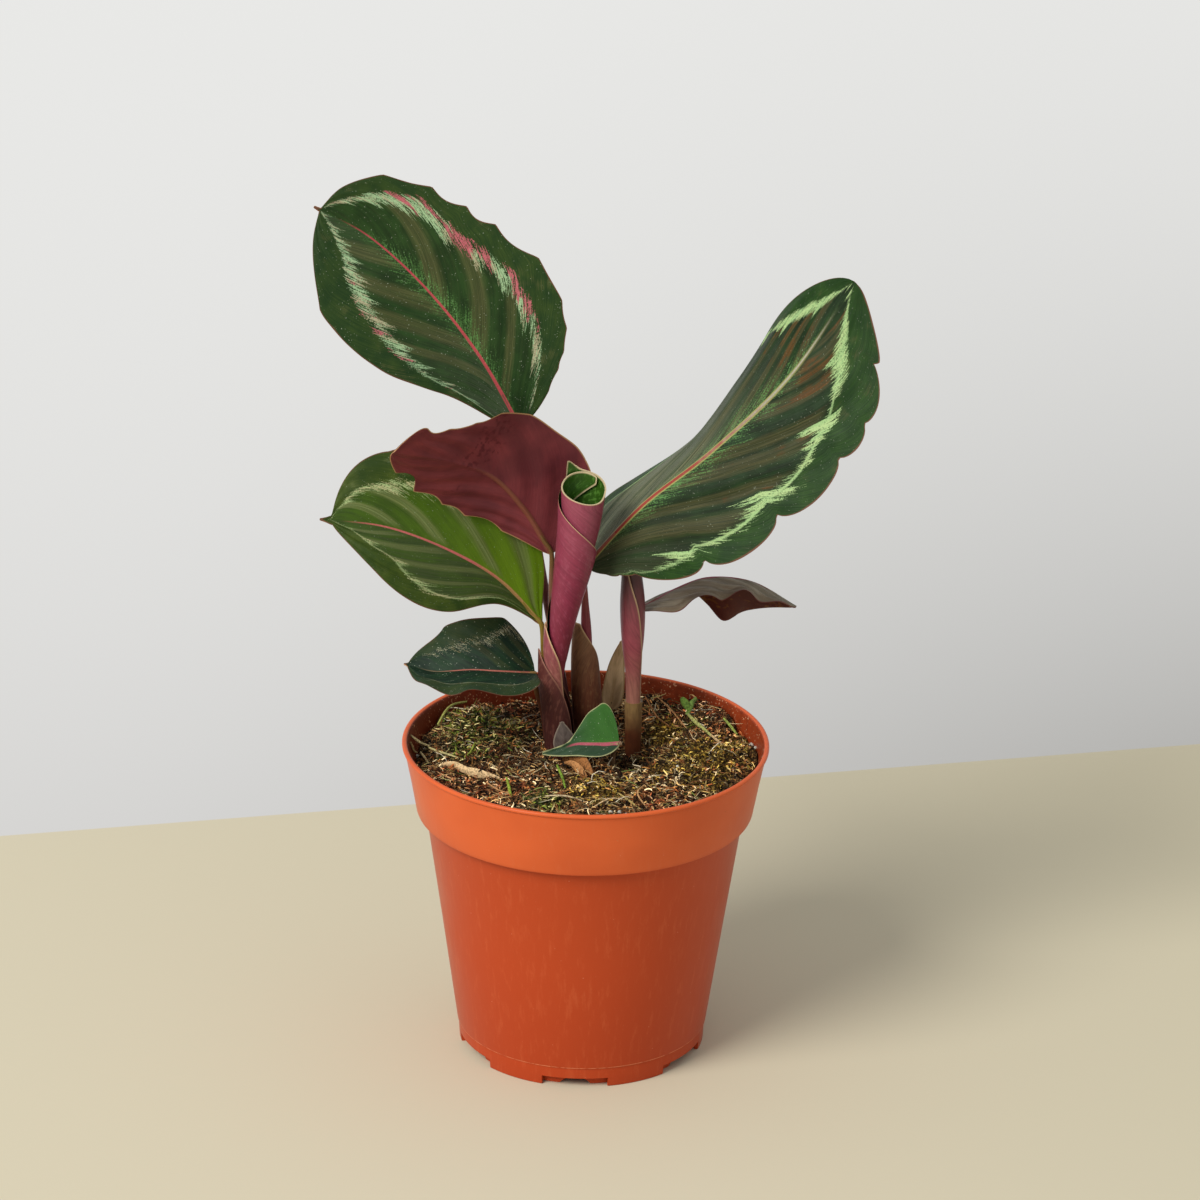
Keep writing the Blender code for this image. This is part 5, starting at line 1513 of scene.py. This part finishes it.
# Colour, radii, flatness and points of what lies on the soil, with heights above the soil
LITTER = (
    ("F0CC98", (0.3, 1.2, 1.6, 1.3, 1.7, 1.2, 0.3), 0.3,
     ((-48, -1, 1.0), (-43, -6, 1.5), (-37, -11, 1.6), (-27.6, -16, 1.0))),
    ("2E1A10", (0.2, 0.25, 0.15), 1, ((-34.6, -15, 2.3), (-33.6, -12, 2.8), (-32.5, -9, 3.0))),
    ("E2CFA0", (0.15, 0.2, 0.12), 1, ((-26, -14, 1.3), (-22.6, -15.8, 1.6), (-19, -14, 1.2))),
    ("D8C48C", (0.3, 0.45, 0.4, 0.3), 1, ((-57.6, 7, 9.5), (-54.6, 8, 5.5), (-51.5, 9.5, 2.2))),
    ("C8B078", (0.25, 0.35, 0.2), 1, ((-57.3, 3, 9.0), (-56.2, 4.5, 5.5), (-55.3, 6, 3.5))),
    ("CDB988", (0.3, 0.35, 0.2), 1, ((-54.2, 7, 2.4), (-52.6, 4.5, 1.8), (-51.2, 2, 1.2))),
    ("C4B87E", (0.35, 0.45, 0.35, 0.2), 1,
     ((-51.5, 9, 2.0), (-47.5, 5, 1.6), (-44.5, 1, 1.4), (-40.5, -3.5, 1.2))),
    ("9CB03C", (0.35, 0.5, 0.35), 1, ((-25.4, -20, 2.6), (-24.4, -27, 2.6), (-23.6, -34, 1.0))),
    ("7E9A34", (0.35, 0.5, 0.3), 1, ((-9.2, -11, 3.2), (-7.6, -16, 2.6), (-6.3, -22, 1.2))),
    ("9CA83E", (0.25, 0.35, 0.25), 1, ((-36.4, 6, 1.4), (-37.6, 0, 1.8), (-39.5, -3, 1.2))),
    ("6E8E3A", (0.7, 1.3, 1.1, 0.6), 0.6, ((31.6, 33, 5.0), (33.0, 31.5, 3.0), (34.0, 30, 1.4))),
    ("7C9A48", (0.7, 1.0, 0.7), 0.6, ((36.5, 36, 2.6), (35.0, 32.5, 2.0), (33.6, 29, 1.2))),
    ("A8A860", (0.5, 0.7, 0.6, 0.45), 0.8,
     ((33.8, 29, 1.3), (36.5, 24.7, 1.6), (39, 20.4, 1.5), (41.6, 16.2, 1.1))),
    ("C8A878", (0.4, 0.5, 0.4), 0.8, ((41.3, 16.6, 1.3), (43.4, 13.2, 1.2), (45, 10, 0.9))),
    ("9AA850", (0.35, 0.5, 0.3), 0.8, ((45.5, 25, 1.8), (47.6, 23.2, 1.8), (50, 21, 1.0))),
    ("C08A58", (0.2, 0.3, 0.25, 0.15), 1,
     ((24, 37, 6.0), (27.5, 33, 4.0), (31, 28, 2.2), (33.5, 23.6, 1.2))),
    ("B07848", (0.2, 0.3, 0.2), 1, ((19.5, 38, 5.5), (23.5, 32, 3.2), (27.5, 26, 1.6))),
    ("E8DCC0", (0.15, 0.2, 0.12), 1, ((9, 6, 4.5), (7.6, 2.5, 3.2), (10, -2, 2.0))),
    ("E4D2AE", (0.12, 0.18, 0.12), 1, ((16.6, 7, 5.0), (15.6, 3, 3.4), (18, -1, 2.4), (16.6, -5, 1.6))),
    ("DCC49A", (0.2, 0.3, 0.22, 0.12), 1,
     ((1, -32, 1.6), (-6, -33, 2.0), (-13, -31.5, 1.6), (-19, -33, 1.0))),
    ("D8B888", (0.2, 0.3, 0.2), 1, ((14, -30, 1.4), (8, -32, 1.8), (2, -35, 1.2))),
    ("E0C8A0", (0.15, 0.22, 0.12), 1, ((24, -33, 1.4), (30, -31, 1.8), (36, -27, 1.2))),
    ("C89A68", (0.2, 0.3, 0.15), 1, ((20, -20, 2.0), (17, -27, 2.2), (20, -34, 1.4))),
    ("B8A060", (0.25, 0.35, 0.2), 1, ((11, -26, 2.0), (14, -32, 2.2), (18, -37, 1.2))),
    ("D2A070", (0.18, 0.26, 0.15), 1, ((-48, -12, 1.6), (-43, -18, 1.8), (-38, -19, 1.2))),
    ("C6915E", (0.2, 0.3, 0.15), 1, ((-32, -20, 1.6), (-28, -27, 2.0), (-24, -29, 1.2))),
    ("E6D8B4", (0.15, 0.2, 0.1), 1, ((-40, 28, 1.6), (-44, 33, 2.2), (-47, 34, 1.2))),
    ("B4B460", (0.35, 0.5, 0.35), 0.8, ((-49, 22, 1.5), (-46.5, 28, 3.6), (-44, 35, 3.4), (-40, 40, 2.6))),
    ("A06A3A", (0.8, 2.4, 2.9, 2.2, 0.7), 0.28,
     ((-7.4, 1.0, 2.6), (-4.6, -1.5, 3.4), (-1.6, -4.2, 3.0), (2.4, -9.6, 1.6))),
    ("BC8450", (0.4, 1.2, 1.4, 0.5), 0.3, ((-6.8, -3.5, 2.2), (-3.8, -6.6, 2.8), (0.6, -10.6, 1.4))),
)
# Middle and size of each white grain
GRAINS = (
    (-46, -2, 0.9), (-53, 12.5, 0.8), (-55.5, 9.5, 0.9), (8.4, -35.2, 1.0), (11.3, -37.0, 0.9),
    (13.4, -38.4, 0.8), (54.5, 13, 1.1), (56, 10.5, 0.8), (-29, -21, 0.6), (30, -9, 0.6), (-22, 22, 0.6),
    (4, -41, 0.8),
)


def build_litter(look):
    """Bark, twigs, straws, shoots and a dead leaf on the soil, and white grains."""
    surface = Surface("litter", [look])
    for tint, radii, flat, places in LITTER:
        points = [(x, y, float(soil_height(np.array(x), np.array(y))) + lift) for x, y, lift in places]
        surface.tube(points, radii, 0, rings=26, sides=8, flat=flat, tint=paint(tint)[:3])
    white = paint("D8D4C4")[:3]
    for x, y, size in GRAINS:
        z = float(rough_height(np.array([x]), np.array([y]))[0]) + size * 0.5
        middle = np.array([x, y, z])
        points = middle + size * np.array([(-0.8, 0, 0), (0, 0.2, 0.2), (0.8, -0.1, 0)])
        surface.tube(points, (0.1, size * 0.7, size * 0.8, size * 0.6, 0.1), 0, rings=7, sides=7, tint=white)
    surface.build([], "soil")


def build_stage():
    """A table whose far edge runs askew, painted darker towards the right and back as shade, and a pale
    ground beyond it that gives its own light in place of a lit wall, with painted shade to the right and
    growing brighter far off.
    """
    (x0, y0), (x1, y1) = TABLE_EDGE
    looks = Looks("floor", Roughness=0.6)
    x, y, _ = looks.position()
    beyond = y - y0 - (x - x0) * ((y1 - y0) / (x1 - x0))
    behind = looks.step(beyond, 0.5)
    # Painted shade: the table darker towards the right and back
    table = looks.blend("CDC4AB", "C8BFA5", looks.step(x + y * 0.6 - 120.0, 260.0))
    far = 1.0 - looks.math("POWER", 0.5, looks.high(beyond, 0.0) * (1 / FADING_DISTANCE))
    # The ground beyond glows in place of a lit wall, with painted shade to the right and painted light
    # growing with distance
    wall = looks.layers("D6D5D3", ("B4B3B0", looks.step(x - 30.0, 260.0)), ("EAEAE8", far))
    inputs = {
        "Base Color": looks.blend(table, "000000", behind),
        "Emission Color": wall,
        "Emission Strength": behind,
        "Specular IOR Level": 0.0,
    }
    for key, value in inputs.items():
        looks.put(looks.shader.inputs[key], value)
    mesh = bpy.data.meshes.new("floor")
    size = FLOOR_HALF_SIZE * MM
    corners = [(-size, -size, 0), (size, -size, 0), (size, size, 0), (-size, size, 0)]
    mesh.from_pydata(corners, [], [(0, 1, 2, 3)])
    mesh.materials.append(looks.material)
    linked("floor", mesh)


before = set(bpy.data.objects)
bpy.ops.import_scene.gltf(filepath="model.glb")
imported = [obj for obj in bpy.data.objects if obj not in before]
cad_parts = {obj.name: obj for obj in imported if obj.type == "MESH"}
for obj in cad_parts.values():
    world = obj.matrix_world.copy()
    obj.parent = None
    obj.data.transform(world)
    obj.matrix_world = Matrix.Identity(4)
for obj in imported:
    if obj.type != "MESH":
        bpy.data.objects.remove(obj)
cad_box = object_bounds()
place_camera()
light_stage()
build_stage()
build_pot()
build_soil()
strand_material = strand_look("moss_strands")
build_moss(strand_material)
build_litter(strand_material)
build_leaves()
build_wrapped()
